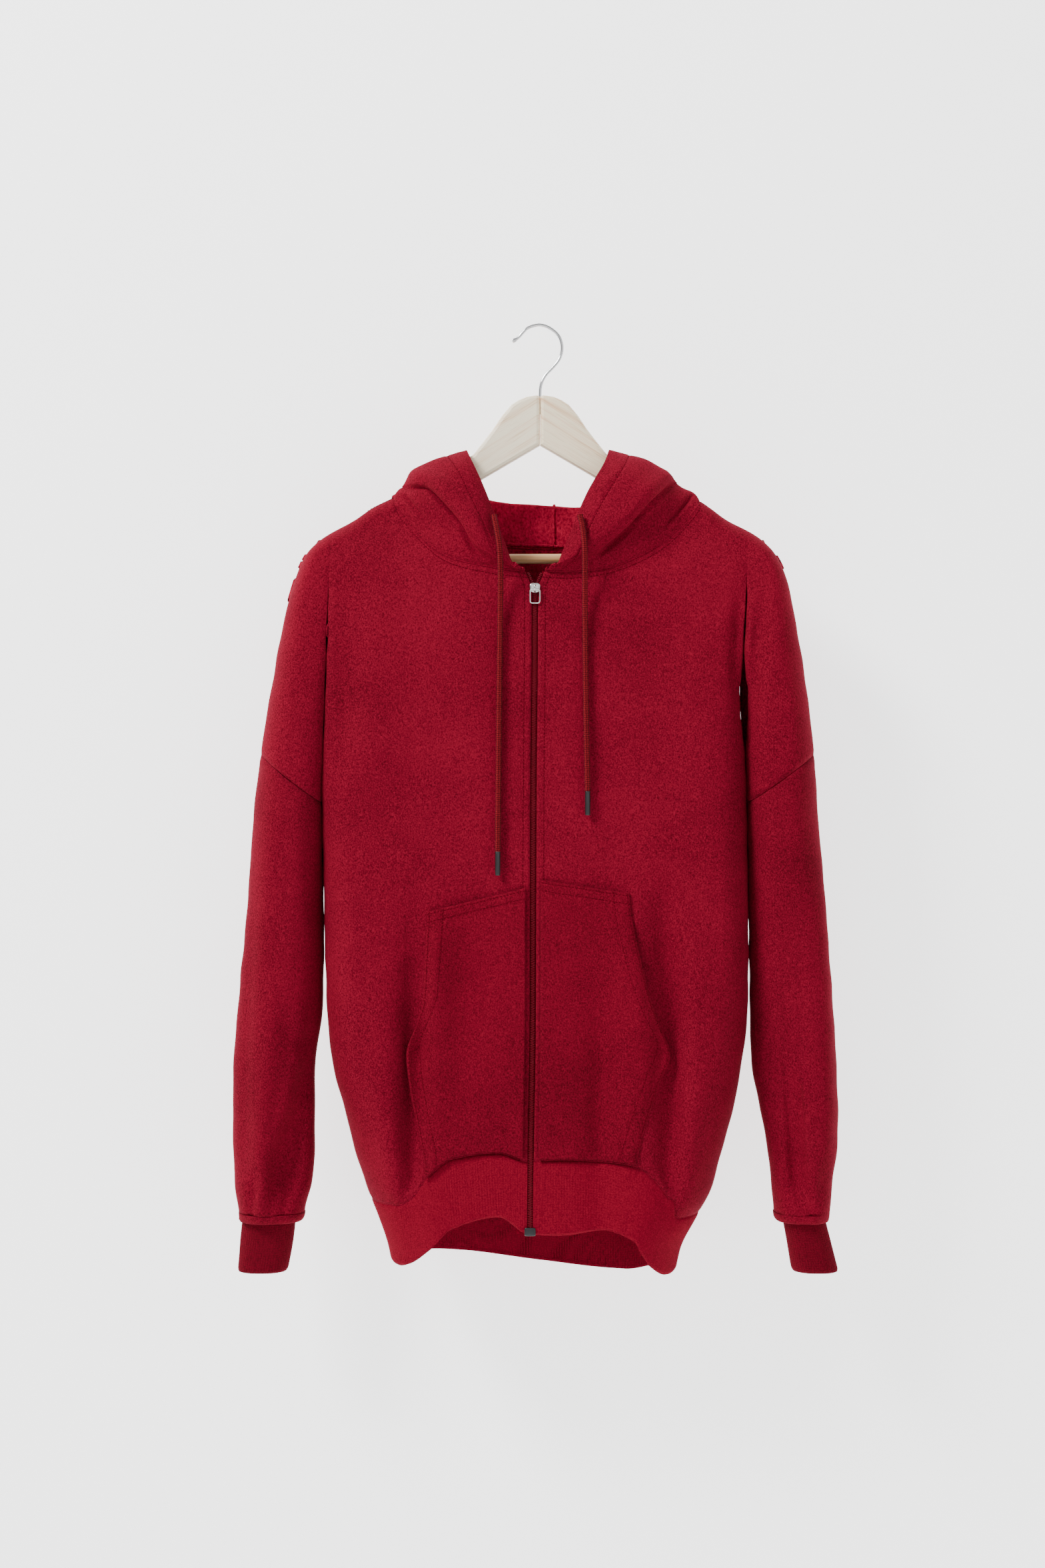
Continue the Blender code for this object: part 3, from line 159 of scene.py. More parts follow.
# Lower edge of the fronts (the waistband's seam) and of the waistband, along x.
#              x      seam    band
FRONT_HEM = [(-152, -783.0, -840.0),
             (-126, -783.0, -840.0),
             (-115, -778.0, -836.0),
             (-98,  -756.0, -822.0),
             (-76,  -740.0, -801.0),
             (-36,  -735.0, -791.0),
             (-10,  -742.0, -806.0),
             (18,   -741.0, -807.0),
             (56,   -743.0, -803.0),
             (82,   -746.0, -812.0),
             (99,   -757.0, -838.0),
             (113,  -775.0, -848.0),
             (124,  -795.0, -849.0),
             (148,  -795.0, -849.0)]
BACK_HEM = [(-152, -783.0, -840.0),
            (-126, -783.0, -840.0),
            (-70,  -786.0, -843.0),
            (0,    -792.0, -852.0),
            (80,   -797.0, -860.0),
            (124,  -795.0, -849.0),
            (148,  -795.0, -849.0)]

# Kangaroo pocket: its outer edge on each front, as distance from x = 0.
#           z     left   right
POCKET = [(-500,  98.0,  79.0),
          (-524,  99.0,  81.0),
          (-570, 101.0,  90.0),
          (-602, 102.5,  98.0),
          (-625, 109.0, 106.0),
          (-650, 117.0, 115.0),
          (-680, 114.0, 104.0),
          (-710, 108.0,  94.0),
          (-745, 101.0,  84.0)]
POCKET_TOP_Z = {LEFT: (-503.0, -524.0), RIGHT: (-496.0, -508.0)}
POCKET_MOUTH_Z = (-530.0, -645.0)

# Hood ribs, neck seam to free edge. The cloth rises, tucks over, comes down to a knuckle (the
# fold over the neck in front, the crown of the pouch behind) and rises again to its free edge.
#             seam              rise              tuck              down
#             knuckle           crest             upper             rim
HOOD_LEFT = [
    [(-13, -31, -223),  (-14, -32, -222),  (-16, -33, -222),  (-17, -34, -221),
     (-19, -35, -220),  (-20, -36, -219),  (-22, -35, -218),  (-24, -34, -217)],
    [(-46, -29, -219),  (-46, -32, -214),  (-45, -34, -211),  (-44, -37, -209),
     (-43, -40, -207),  (-40, -43, -201),  (-37, -40, -194),  (-34, -35, -188)],
    [(-87, -27, -207),  (-82, -31, -196),  (-77, -32, -187),  (-75, -35, -184),
     (-72, -40, -180),  (-64, -46, -168),  (-55, -43, -156),  (-49, -36, -149)],
    [(-120, -16, -175), (-114, -21, -165), (-106, -23, -157), (-103, -26, -153),
     (-99, -31, -149),  (-86, -36, -139),  (-71, -33, -128),  (-61, -25, -122)],
    [(-131, 0, -154),   (-126, 0, -148),   (-121, 0, -144),   (-118, 0, -140),
     (-113, 0, -134),   (-97, 0, -125),    (-80, 0, -119),    (-65, 0, -112)],
    [(-98, 17, -181),   (-92, 23, -162),   (-80, 29, -142),   (-88, 36, -165),
     (-100, 41, -215),  (-94, 51, -205),   (-70, 48, -160),   (-57, 38, -130)],
    [(-45, 25, -195),   (-44, 28, -176),   (-43, 33, -157),   (-50, 39, -235),
     (-60, 46, -345),   (-56, 61, -325),   (-42, 67, -225),   (-32, 60, -167)],
    [(13.6, 25, -199),  (13.6, 29, -181),  (13.6, 34, -163),  (13.6, 41, -260),
     (13.6, 49, -395),  (13.6, 67, -372),  (13.6, 71, -250),  (13.6, 65, -174)]]
HOOD_RIGHT = [
    [(5, -31, -223),    (6, -32, -222),    (7, -33, -222),    (9, -34, -221),
     (10, -35, -220),   (12, -36, -219),   (14, -35, -218),   (16, -34, -217)],
    [(41, -29, -223),   (40, -32, -218),   (39, -34, -215),   (38, -37, -213),
     (37, -40, -211),   (34, -43, -206),   (30, -40, -199),   (25, -35, -194)],
    [(79, -27, -214),   (75, -31, -204),   (71, -32, -196),   (69, -35, -193),
     (66, -40, -189),   (58, -46, -176),   (49, -43, -163),   (41, -36, -156)],
    [(117, -17, -192),  (112, -22, -180),  (107, -24, -167),  (105, -27, -162),
     (102, -32, -156),  (87, -37, -143),   (70, -33, -132),   (57, -26, -127)],
    [(145, 0, -158),    (139, 0, -150),    (128, 0, -145),    (122, 0, -140),
     (115, 0, -134),    (98, 0, -124),     (80, 0, -117),     (63, 0, -111)],
    [(108, 17, -186),   (101, 23, -166),   (86, 29, -144),    (96, 36, -166),
     (110, 41, -215),   (102, 51, -205),   (77, 48, -160),    (60, 38, -130)],
    [(62, 25, -197),    (60, 28, -179),    (53, 33, -162),    (66, 39, -237),
     (80, 46, -345),    (75, 61, -325),    (59, 67, -225),    (48, 60, -170)],
    [(13.6, 25, -199),  (13.6, 29, -181),  (13.6, 34, -163),  (13.6, 41, -260),
     (13.6, 49, -395),  (13.6, 67, -372),  (13.6, 71, -250),  (13.6, 65, -174)]]
SHOULDER_RIB = 4      # the rib that crosses the shoulder ridge
BACK_NECK_X = 13.6

# Drawcord routes, from where each leaves the hood's edge to the top of its tip.
CORD_R = 2.5
CORD_LEFT = [(-40.3, -43.5, -175), (-38, -47.5, -186), (-35.6, -49.5, -200), (-34.6, -47.5, -214),
             (-34.3, -42, -232), (-34.7, -38.6, -262), (-35.2, -39.2, -310), (-35.8, -41.2, -370),
             (-36.4, -43, -430), (-36.8, -44.2, -471)]
CORD_RIGHT = [(35.6, -45.5, -175), (38, -47.5, -186), (39.4, -49.5, -200), (39.8, -47.5, -214),
              (40, -42, -232), (40.2, -38.6, -262), (40.6, -39.2, -305), (41.3, -41, -360),
              (42.4, -42.6, -418)]
AGLET_LEN = 20.5

# Hanger
HANGER_SLOPE = 0.62   # rise of the shoulder line over the neck opening, for each step inward
WIRE_R = 1.5
HOOK = [(-24.4, -13.4), (-20.6, -11.3), (-17.6, -8.7), (-14.6, -5.2), (-9.7, -0.9), (-1.8, 1.5),
        (4.2, 1.0), (10.2, -1.7), (16.2, -6.6), (19.5, -12.4), (20.6, -18.8), (19.8, -24.8),
        (17.2, -30.8), (12.2, -36.9), (6.6, -42.7), (3.2, -48.0), (1.3, -54.0), (0.8, -61.0),
        (0.8, -70.0), (0.8, -79.0)]

# Zip
SLIDER_Z = -238.0
SLIDER_W = 10.3
SLIDER_H = 8.4
ZIP_END_Z = -806.0
PANEL_TO_ZIP = 2.7    # cloth edge to the middle of the zip


# ---------------------------------------------------------------- reading tables

def table(rows, column, at):
    """Read one column of a table at any first-column value, with smooth cubic pieces."""
    data = np.array(sorted(rows), dtype=float)
    knots = data[:, 0]
    values = data[:, column]
    slopes = np.diff(values) / np.diff(knots)
    tangents = np.zeros(len(knots))
    tangents[0] = slopes[0]
    tangents[-1] = slopes[-1]
    for i in range(1, len(knots) - 1):
        if slopes[i - 1] * slopes[i] > 0:
            tangents[i] = 2 * slopes[i - 1] * slopes[i] / (slopes[i - 1] + slopes[i])
    at = np.clip(np.asarray(at, dtype=float), knots[0], knots[-1])
    i = np.clip(np.searchsorted(knots, at) - 1, 0, len(knots) - 2)
    step = knots[i + 1] - knots[i]
    t = (at - knots[i]) / step
    return ((2 * t ** 3 - 3 * t ** 2 + 1) * values[i] + (t ** 3 - 2 * t ** 2 + t) * step * tangents[i]
            + (-2 * t ** 3 + 3 * t ** 2) * values[i + 1] + (t ** 3 - t ** 2) * step * tangents[i + 1])


def spline(points, t):
    """Follow a smooth curve through rows of points, t from 0 to 1 over equal steps."""
    points = np.asarray(points, dtype=float)
    last = len(points) - 1
    place = np.clip(np.asarray(t, dtype=float), 0, 1) * last
    i = np.minimum(place.astype(int), last - 1)
    f = (place - i).reshape((-1,) + (1,) * (points.ndim - 1))
    before = points[np.maximum(i - 1, 0)]
    start = points[i]
    end = points[i + 1]
    after = points[np.minimum(i + 2, last)]
    m0 = (end - before) / 2
    m1 = (after - start) / 2
    return ((2 * f ** 3 - 3 * f ** 2 + 1) * start + (f ** 3 - 2 * f ** 2 + f) * m0
            + (-2 * f ** 3 + 3 * f ** 2) * end + (f ** 3 - f ** 2) * m1)


def smooth(t):
    """Ease from 0 to 1 with level ends."""
    t = np.clip(t, 0, 1)
    return t * t * (3 - 2 * t)


def round_edge(distance, radius):
    """Height of a quarter round of unit height, at a distance inside its foot."""
    return np.sqrt(np.maximum(1 - (1 - np.clip(distance / radius, 0, 1)) ** 2, 0))


# ---------------------------------------------------------------- the garment's form

def zip_x(z):
    return table(BODY, 1, z)


def zip_spread(z):
    """How far each side of the open zip swings out above the slider."""
    return 0.42 * np.maximum(z - SLIDER_Z - 1.5, 0)


def outer_x(side, z):
    """Signed x of the silhouette: shoulder ridge above, sleeve's outer edge below."""
    return side * table(OUTER, 1 if side == LEFT else 2, z)


def groove_x(side, z):
    return side * table(INNER, 1 if side == LEFT else 2, z)


def sleeve_inner_x(side, z):
    return side * table(INNER, 3 if side == LEFT else 4, z)


def sink(side, z):
    """How far the groove beside the body has sunk towards the side seam, 0 to 1."""
    return table(INNER, 5 if side == LEFT else 6, z)


def ridge_z(side, x):
    """Height of the shoulder ridge over a signed x; it carries on over the neck opening."""
    rows = [(row[1 if side == LEFT else 2], row[0]) for row in OUTER[:8]]
    reach = np.abs(x)
    neck = rows[0][0]
    over_neck = rows[0][1] + HANGER_SLOPE * np.maximum(neck - reach, 0)
    return np.where(reach < neck, over_neck, table(rows, 1, reach))


def edge_distance(side, x, z):
    """Rough distance inside the silhouette, from the ridge above and the outer edge beside."""
    below = np.maximum(ridge_z(side, x) - z, 0) * 0.87
    inside = np.maximum(np.abs(outer_x(side, z)) - np.abs(x), 0)
    return np.minimum(below, inside)


def side_depth(side, face, x, z):
    """Depth of the hanging cloth from the hanger's plane, rounded in at the silhouette."""
    full = table(BODY, 2 if face == FRONT else 3, z)
    radius = np.interp(z, [-560, -300, -220, -150], [34, 26, 15, 9])
    return full * round_edge(edge_distance(side, x, z), radius)


def troughs(x, z):
    """Soft vertical troughs hanging in the fronts, as a depth taken off."""
    total = np.zeros(np.broadcast(x, z).shape)
    for x_top, z_top, x_bot, z_bot, deep, wide in TROUGHS:
        along = np.clip((z_top - z) / (z_top - z_bot), 0, 1.3)
        middle = x_top + (x_bot - x_top) * along
        total = total + deep * smooth(along * 2) * np.exp(-((x - middle) / wide) ** 2)
    return total


def body_point(side, face, c, z, seam_turn=0.0):
    """A point of the body's ring: c runs from the zip or centre back to the side.

    The ring is flat, then turns a quarter round into its side. seam_turn is how many radians
    past that quarter this piece goes round, or short of it where it is negative.
    """
    centre = BACK_NECK_X * smooth((z + 420) / 200)
    if face == FRONT:
        centre = zip_x(z) + side * (PANEL_TO_ZIP + zip_spread(z))
    edge = groove_x(side, z) - side * SEAM_HALF * smooth((SEAM_IN_Z - z) / 8)
    radius = table(BODY, 5, z)
    flat = np.abs(edge - centre) - radius
    turn = np.pi / 2 + seam_turn
    along = (1 - (1 - c) ** 1.25) * (flat + radius * turn)
    angle = np.clip((along - flat) / radius, 0, turn)
    x = np.where(along < flat, centre + side * along, edge - side * radius * (1 - np.sin(angle)))
    base = side_depth(side, face, x, z)
    other = side_depth(side, -face, x, z)
    middle = table(BODY, 4, z)
    sunk = sink(side, z)
    floor = face * base * (1 - sunk) + middle * sunk
    crest = face * base
    turned = -face * other
    if face == FRONT:
        crest = crest + troughs(x, z)
    else:
        turned = turned + troughs(x, z)
    y = np.where(angle <= np.pi / 2, floor + (crest - floor) * np.cos(angle),
                 floor + (turned - floor) * -np.cos(angle))
    return x, y


def upper_arm_y(side, face, x, z):
    """Depth of the cloth between the groove and the outer edge, above the armhole seam."""
    base = face * side_depth(side, face, x, z)
    sunk = sink(side, z)
    floor = base * (1 - sunk) + table(BODY, 4, z) * sunk
    off_groove = np.abs(x - sleeve_inner_x(side, z))
    return floor + (base - floor) * round_edge(off_groove, ARM_CORNER)


def groove_floor(side, face, z):
    """Depth of the groove's floor between body and sleeve."""
    sunk = sink(side, z)
    hang = face * side_depth(side, face, groove_x(side, z), z)
    return hang * (1 - sunk) + table(BODY, 4, z) * sunk


def sleeve_point(side, face, c, z):
    """A point of the sleeve's ring: c runs from the inner edge to the outer edge."""
    inner = sleeve_inner_x(side, z) + side * SEAM_HALF * smooth((SEAM_IN_Z - z) / 8)
    outer = outer_x(side, z)
    share = (1 - np.cos(np.pi * c)) / 2
    x = inner + (outer - inner) * share
    blend = smooth((SEAM_IN_Z - z) / 90)
    oval = np.sqrt(np.maximum(1 - np.abs(2 * share - 1) ** 2.4, 0))
    tube = table(SLEEVE, 1 if face == FRONT else 2, z) * np.where(share > 0.5, oval, 1)
    crest = (side_depth(side, face, x, z) * (1 - blend) + tube * blend) * face
    crest = crest + table(SLEEVE, 3, z) * blend
    rise = round_edge(np.abs(x - inner), ARM_CORNER) * (1 - blend)
    rise = rise + np.where(share < 0.5, oval, 1) * blend
    below = smooth((UNDERARM_Z - z) / 60)
    floor = groove_floor(side, face, z) * (1 - below) + table(SLEEVE, 3, z) * below
    y = floor + (crest - floor) * rise
    if face == FRONT:
        fold = side * table(SLEEVE, 4 if side == LEFT else 5, z)
        step = table(SLEEVE, 6, z) * np.sin(np.pi * share) ** 0.6
        y = y + step * smooth(0.5 + (fold - x) * side / 14)
    return x, y


def surface(function, us, vs):
    """Points and unit normals of a surface function over a grid of its two parameters."""
    u, v = np.meshgrid(us, vs, indexing="ij")
    tiny = 2e-4
    points = np.stack(function(u, v), axis=-1)
    u0 = np.clip(u - tiny, 0, 1)
    u1 = np.clip(u + tiny, 0, 1)
    v0 = np.clip(v - tiny, 0, 1)
    v1 = np.clip(v + tiny, 0, 1)
    along_u = np.stack(function(u1, v), axis=-1) - np.stack(function(u0, v), axis=-1)
    along_v = np.stack(function(u, v1), axis=-1) - np.stack(function(u, v0), axis=-1)
    normals = np.cross(along_u, along_v)
    normals /= np.maximum(np.linalg.norm(normals, axis=-1, keepdims=True), 1e-12)
    return points, normals


def outward(points, normals, middle):
    """Turn a block's normals so that they point away from a middle point."""
    away = np.sum(normals * (points - np.asarray(middle)), axis=-1)
    flip = -1.0 if away.mean() < 0 else 1.0
    return points, normals * flip


def hood_rib_curve(ribs, a, w):
    """Tensor spline through the hood's ribs: a round the neck, w from seam to free edge."""
    ribs = np.asarray(ribs, dtype=float)
    shape = np.broadcast(a, w).shape
    a = np.broadcast_to(a, shape).ravel()
    w = np.broadcast_to(w, shape).ravel()
    across = spline(ribs, a)
    last = ribs.shape[1] - 1
    place_w = np.clip(w, 0, 1) * last
    i = np.minimum(place_w.astype(int), last - 1)
    f = (place_w - i)[:, None]
    n = np.arange(len(a))
    before = across[n, np.maximum(i - 1, 0)]
    start = across[n, i]
    end = across[n, i + 1]
    after = across[n, np.minimum(i + 2, last)]
    m0 = (end - before) / 2
    m1 = (after - start) / 2
    points = ((2 * f ** 3 - 3 * f ** 2 + 1) * start + (f ** 3 - 2 * f ** 2 + f) * m0
              + (-2 * f ** 3 + 3 * f ** 2) * end + (f ** 3 - f ** 2) * m1)
    return points.reshape(shape + (3,))


def neck_edge(side, x_values, back=False):
    """Height of the neck seam over x, in front from zip to shoulder, or behind."""
    ribs = HOOD_LEFT if side == LEFT else HOOD_RIGHT
    steps = np.linspace(0, SHOULDER_RIB / (len(ribs) - 1), 60)
    if back:
        steps = np.linspace(SHOULDER_RIB / (len(ribs) - 1), 1, 60)
    line = hood_rib_curve(ribs, steps, np.zeros(60))
    order = np.argsort(line[:, 0])
    return np.interp(x_values, line[order, 0], line[order, 2])


def shoulder_x(side):
    ribs = HOOD_LEFT if side == LEFT else HOOD_RIGHT
    return ribs[SHOULDER_RIB][0][0]


def top_edge_z(side, face, x):
    """Upper edge of a body panel: neck seam, then the shoulder ridge."""
    neck = neck_edge(side, x, back=face == BACK)
    past = np.abs(x) >= np.abs(shoulder_x(side))
    gap = NECK_GAP + (NECK_GAP_STEEP - NECK_GAP) * smooth((np.abs(x) - 70) / 40)
    return np.where(past, ridge_z(side, x), neck - gap)


def seam_turn(face, z, trim=SEAM_HALF):
    """Radians past the quarter round at which a body piece ends below the underarm."""
    past = SIDE_SEAM_TURN * smooth((UNDERARM_Z - z) / 90)
    cut = trim / table(BODY, 5, z)
    return (past if face == BACK else -past) - cut * smooth((UNDERARM_Z - z) / 4)


def hem_line(side, face, c, column, trim):
    """Where a ring position meets the table of lower edges, found by stepping towards it."""
    rows = FRONT_HEM if face == FRONT else BACK_HEM
    z = np.full(np.shape(c), -790.0)
    for _ in range(5):
        x = body_point(side, face, c, z, seam_turn(face, z, trim))[0]
        z = table(rows, column, x)
    return z


def hem_point(side, face, c, column, trim=SEAM_HALF):
    """Height of the lower seam (column 1) or the band's edge (column 2) for a ring position."""
    z = hem_line(side, face, c, column, trim)
    if face == BACK:
        ends = np.array([1.0])
        miss = hem_line(side, FRONT, ends, column, trim) - hem_line(side, BACK, ends, column, trim)
        z = z + miss * smooth(2 * c - 1)
    return z


def top_point(side, face, c):
    """Height of the upper edge for a ring position."""
    z = np.full(np.shape(c), -190.0)
    for _ in range(30):
        z = (z + top_edge_z(side, face, body_point(side, face, c, z)[0])) / 2
    return z


def ring_steps(side, face, count):
    """Ring positions of a body piece's columns, with two more where the neck meets the ridge."""
    tries = np.linspace(0, 1, 400)
    reach = np.abs(body_point(side, face, tries, np.full(400, -158.0))[0])
    corner = np.interp([abs(shoulder_x(side)) - 2.5, abs(shoulder_x(side)) + 0.2], reach, tries)
    return np.union1d(np.linspace(0, 1, count), corner)


def cuff_point(side, face, c, z, extra=0.0):
    """A point of the cuff's flattened ring; extra grows it outward."""
    share = (1 - np.cos(np.pi * c)) / 2
    inner = table(CUFF, 1 if side == LEFT else 3, z) - extra
    outer = table(CUFF, 2 if side == LEFT else 4, z) + extra
    reach = inner + (outer - inner) * share
    oval = np.maximum(1 - np.abs(2 * share - 1) ** 2.4, 0) ** 0.5
    y = table(CUFF, 5, z) + face * (CUFF_HALF_Y + extra) * oval
    return side * reach, y


def front_y(side, z):
    """Depth of the front panel's outer face at its zip edge."""
    x = zip_x(z) + side * (PANEL_TO_ZIP + zip_spread(z))
    return -side_depth(side, FRONT, x, z) + troughs(x, z)


# ---------------------------------------------------------------- materials

def new_material(name, rough=0.9, metal=0.0):
    """A material with its own shader; returns it with its tree, shader and coordinates node."""
    made = bpy.data.materials.new(name)
    made.use_nodes = True
    tree = made.node_tree
    shader = tree.nodes["Principled BSDF"]
    shader.inputs["Roughness"].default_value = rough
    shader.inputs["Metallic"].default_value = metal
    return made, tree, shader, tree.nodes.new("ShaderNodeTexCoord")


def scaled_sum(tree, a, a_share, b, b_share):
    return maths(tree, "ADD", maths(tree, "MULTIPLY", a, a_share), maths(tree, "MULTIPLY", b, b_share))


def noise(tree, vector, scale, detail=3.0, rough=0.55, distortion=0.0):
    node = tree.nodes.new("ShaderNodeTexNoise")
    node.inputs["Scale"].default_value = scale
    node.inputs["Detail"].default_value = detail
    node.inputs["Roughness"].default_value = rough
    node.inputs["Distortion"].default_value = distortion
    tree.links.new(vector, node.inputs["Vector"])
    return node.outputs["Fac"]


def stretched(tree, vector, scale, turn=(0, 0, 0)):
    node = tree.nodes.new("ShaderNodeMapping")
    node.inputs["Scale"].default_value = scale
    node.inputs["Rotation"].default_value = turn
    tree.links.new(vector, node.inputs["Vector"])
    return node.outputs["Vector"]


def ramp(tree, value, stops):
    node = tree.nodes.new("ShaderNodeValToRGB")
    bar = node.color_ramp
    while len(bar.elements) < len(stops):
        bar.elements.new(0.5)
    for element, (at, color) in zip(bar.elements, stops):
        element.position = at
        element.color = (*color, 1)
    tree.links.new(value, node.inputs["Fac"])
    return node.outputs["Color"]


def maths(tree, operation, a, b=0.0):
    node = tree.nodes.new("ShaderNodeMath")
    node.operation = operation
    for socket, value in zip(node.inputs, (a, b)):
        if isinstance(value, (int, float)):
            socket.default_value = value
        else:
            tree.links.new(value, socket)
    return node.outputs["Value"]


def mixed(tree, a, b, fac, blend="MIX"):
    node = tree.nodes.new("ShaderNodeMix")
    node.data_type = "RGBA"
    node.blend_type = blend
    for socket, value in ((node.inputs["Factor"], fac), (node.inputs[6], a), (node.inputs[7], b)):
        if isinstance(value, float):
            socket.default_value = value
        elif isinstance(value, tuple):
            socket.default_value = (*value, 1)
        else:
            tree.links.new(value, socket)
    return node.outputs[2]


def bump(tree, shader, height, distance, strength=1.0):
    node = tree.nodes.new("ShaderNodeBump")
    node.inputs["Distance"].default_value = distance
    node.inputs["Strength"].default_value = strength
    tree.links.new(height, node.inputs["Height"])
    tree.links.new(node.outputs["Normal"], shader.inputs["Normal"])


def fleece(name, dark, light, nap=0.00025, grain=760.0, sheen=0.12):
    """Heathered fleece: fine flecks over a slow drift of tone, with a short nap."""
    made, tree, shader, at = new_material(name, 0.93)
    here = at.outputs["Object"]
    flecks = noise(tree, here, grain, 2.0, 0.7)
    threads = noise(tree, stretched(tree, here, (1.0, 1.0, 0.45)), grain * 1.7, 1.0, 0.5)
    drift = noise(tree, here, 14.0, 2.0, 0.5)
    tone = scaled_sum(tree, flecks, 0.6, threads, 0.4)
    tone = maths(tree, "ADD", tone, maths(tree, "MULTIPLY", maths(tree, "SUBTRACT", drift, 0.5), 0.16))
    middle = tuple((a + b) / 2 for a, b in zip(dark, light))
    color = ramp(tree, tone, [(0.36, dark), (0.5, middle), (0.64, light)])
    tree.links.new(color, shader.inputs["Base Color"])
    shader.inputs["Sheen Weight"].default_value = sheen
    shader.inputs["Sheen Roughness"].default_value = 0.5
    shader.inputs["Sheen Tint"].default_value = (0.7, 0.02, 0.06, 1)
    shader.inputs["Specular IOR Level"].default_value = 0.05
    bump(tree, shader, tone, nap, 0.9)
    return made


def knit_rib(name, dark, light):
    """Rib knit: the fleece's flecks with fine rows of stitches up each wale, from the UV map."""
    made, tree, shader, at = new_material(name, 0.92)
    flecks = noise(tree, at.outputs["Object"], 900.0, 2.0, 0.7)
    wave = tree.nodes.new("ShaderNodeTexWave")
    wave.wave_type = "BANDS"
    wave.bands_direction = "Y"
    wave.inputs["Scale"].default_value = 0.32
    wave.inputs["Distortion"].default_value = 0.6
    tree.links.new(at.outputs["UV"], wave.inputs["Vector"])
    tone = scaled_sum(tree, flecks, 0.8, wave.outputs["Fac"], 0.2)
    tree.links.new(ramp(tree, tone, [(0.34, dark), (0.66, light)]), shader.inputs["Base Color"])
    shader.inputs["Sheen Weight"].default_value = 0.1
    shader.inputs["Sheen Tint"].default_value = (0.7, 0.02, 0.06, 1)
    shader.inputs["Specular IOR Level"].default_value = 0.05
    bump(tree, shader, tone, 0.0002, 0.8)
    return made


def braid(name):
    """Round braid: two sets of strands crossing on the bias, from the UV map in millimetres."""
    made, tree, shader, at = new_material(name, 0.88)
    split = tree.nodes.new("ShaderNodeSeparateXYZ")
    tree.links.new(at.outputs["UV"], split.inputs["Vector"])
    around = split.outputs["X"]
    lengthways = split.outputs["Y"]
    weaves = []
    for way in (1.0, -1.0):
        weaves.append(maths(tree, "SINE", scaled_sum(tree, around, way * 1.2, lengthways, 1.9)))
    cross = maths(tree, "MULTIPLY", weaves[0], weaves[1])
    flecks = noise(tree, at.outputs["Object"], 1100.0, 2.0, 0.6)
    tone = scaled_sum(tree, cross, 0.32, flecks, 0.9)
    color = ramp(tree, tone, [(0.2, (0.05, 0.0006, 0.0026)), (0.5, (0.13, 0.003, 0.009)),
                              (0.8, (0.25, 0.012, 0.014))])
    tree.links.new(color, shader.inputs["Base Color"])
    shader.inputs["Sheen Weight"].default_value = 0.03
    shader.inputs["Specular IOR Level"].default_value = 0.08
    bump(tree, shader, tone, 0.0005, 1.0)
    return made


def wood(name, dark, light, turn, rough=0.5):
    """Planed wood: long streaks along the arm, pores, and slow rings."""
    made, tree, shader, at = new_material(name, rough)
    here = stretched(tree, at.outputs["Object"], (1, 1, 1), (0, turn, 0))
    rings = noise(tree, stretched(tree, here, (3.0, 60.0, 90.0)), 1.0, 3.0, 0.55, 0.8)
    streaks = noise(tree, stretched(tree, here, (9.0, 300.0, 520.0)), 1.0, 4.0, 0.65)
    pores = noise(tree, stretched(tree, here, (45.0, 900.0, 1500.0)), 1.0, 2.0, 0.5)
    tone = scaled_sum(tree, rings, 0.5, streaks, 0.5)
    color = ramp(tree, tone, [(0.36, dark), (0.5, light), (0.7, tuple(min(c * 1.06, 0.95) for c in light))])
    grainy = ramp(tree, pores, [(0.3, (0.8, 0.72, 0.62)), (0.42, (1, 1, 1))])
    tree.links.new(mixed(tree, color, grainy, 0.75, "MULTIPLY"), shader.inputs["Base Color"])
    bump(tree, shader, streaks, 0.00015, 0.6)
    shader.inputs["Coat Weight"].default_value = 0.15
    shader.inputs["Coat Roughness"].default_value = 0.35
    return made


def bright_metal(name, color, rough=0.2, wear=0.12):
    """Plated metal with fine handling marks in its roughness."""
    made, tree, shader, at = new_material(name, rough, 1.0)
    shader.inputs["Base Color"].default_value = (*color, 1)
    marks = noise(tree, stretched(tree, at.outputs["Object"], (700, 700, 250)), 1.0, 4.0, 0.6)
    worn = maths(tree, "ADD", maths(tree, "MULTIPLY", marks, wear), rough)
    tree.links.new(worn, shader.inputs["Roughness"])
    bump(tree, shader, marks, 0.00002, 0.4)
    return made


def plain_plastic(name, color, rough, shine=0.5):
    """Moulded plastic or filament: the handling marks of the metal without its mirror."""
    made = bright_metal(name, color, rough)
    shader = made.node_tree.nodes["Principled BSDF"]
    shader.inputs["Metallic"].default_value = 0.0
    shader.inputs["Specular IOR Level"].default_value = shine
    return made


CLOTH_LOOK = fleece("crimson_fleece", (0.075, 0.0011, 0.006), (0.23, 0.0058, 0.022))
# The sleeves' copy of the fleece is darker than the body's: painted shade.
SLEEVE_SHADED_LOOK = fleece("crimson_fleece_sleeve_painted_shade", (0.07, 0.001, 0.0056), (0.215, 0.0054, 0.0205))
# The pocket's copy of the fleece is darker than the body's: painted shade.
POCKET_SHADED_LOOK = fleece("crimson_fleece_pocket_painted_shade", (0.066, 0.0009, 0.005), (0.2, 0.0046, 0.018))
INSIDE_LOOK = fleece("brushed_inside", (0.15, 0.0024, 0.012), (0.4, 0.0105, 0.04), 0.0009, 420.0, 0.2)
RIB_LOOK = knit_rib("crimson_rib", (0.055, 0.0007, 0.0042), (0.15, 0.0034, 0.013))
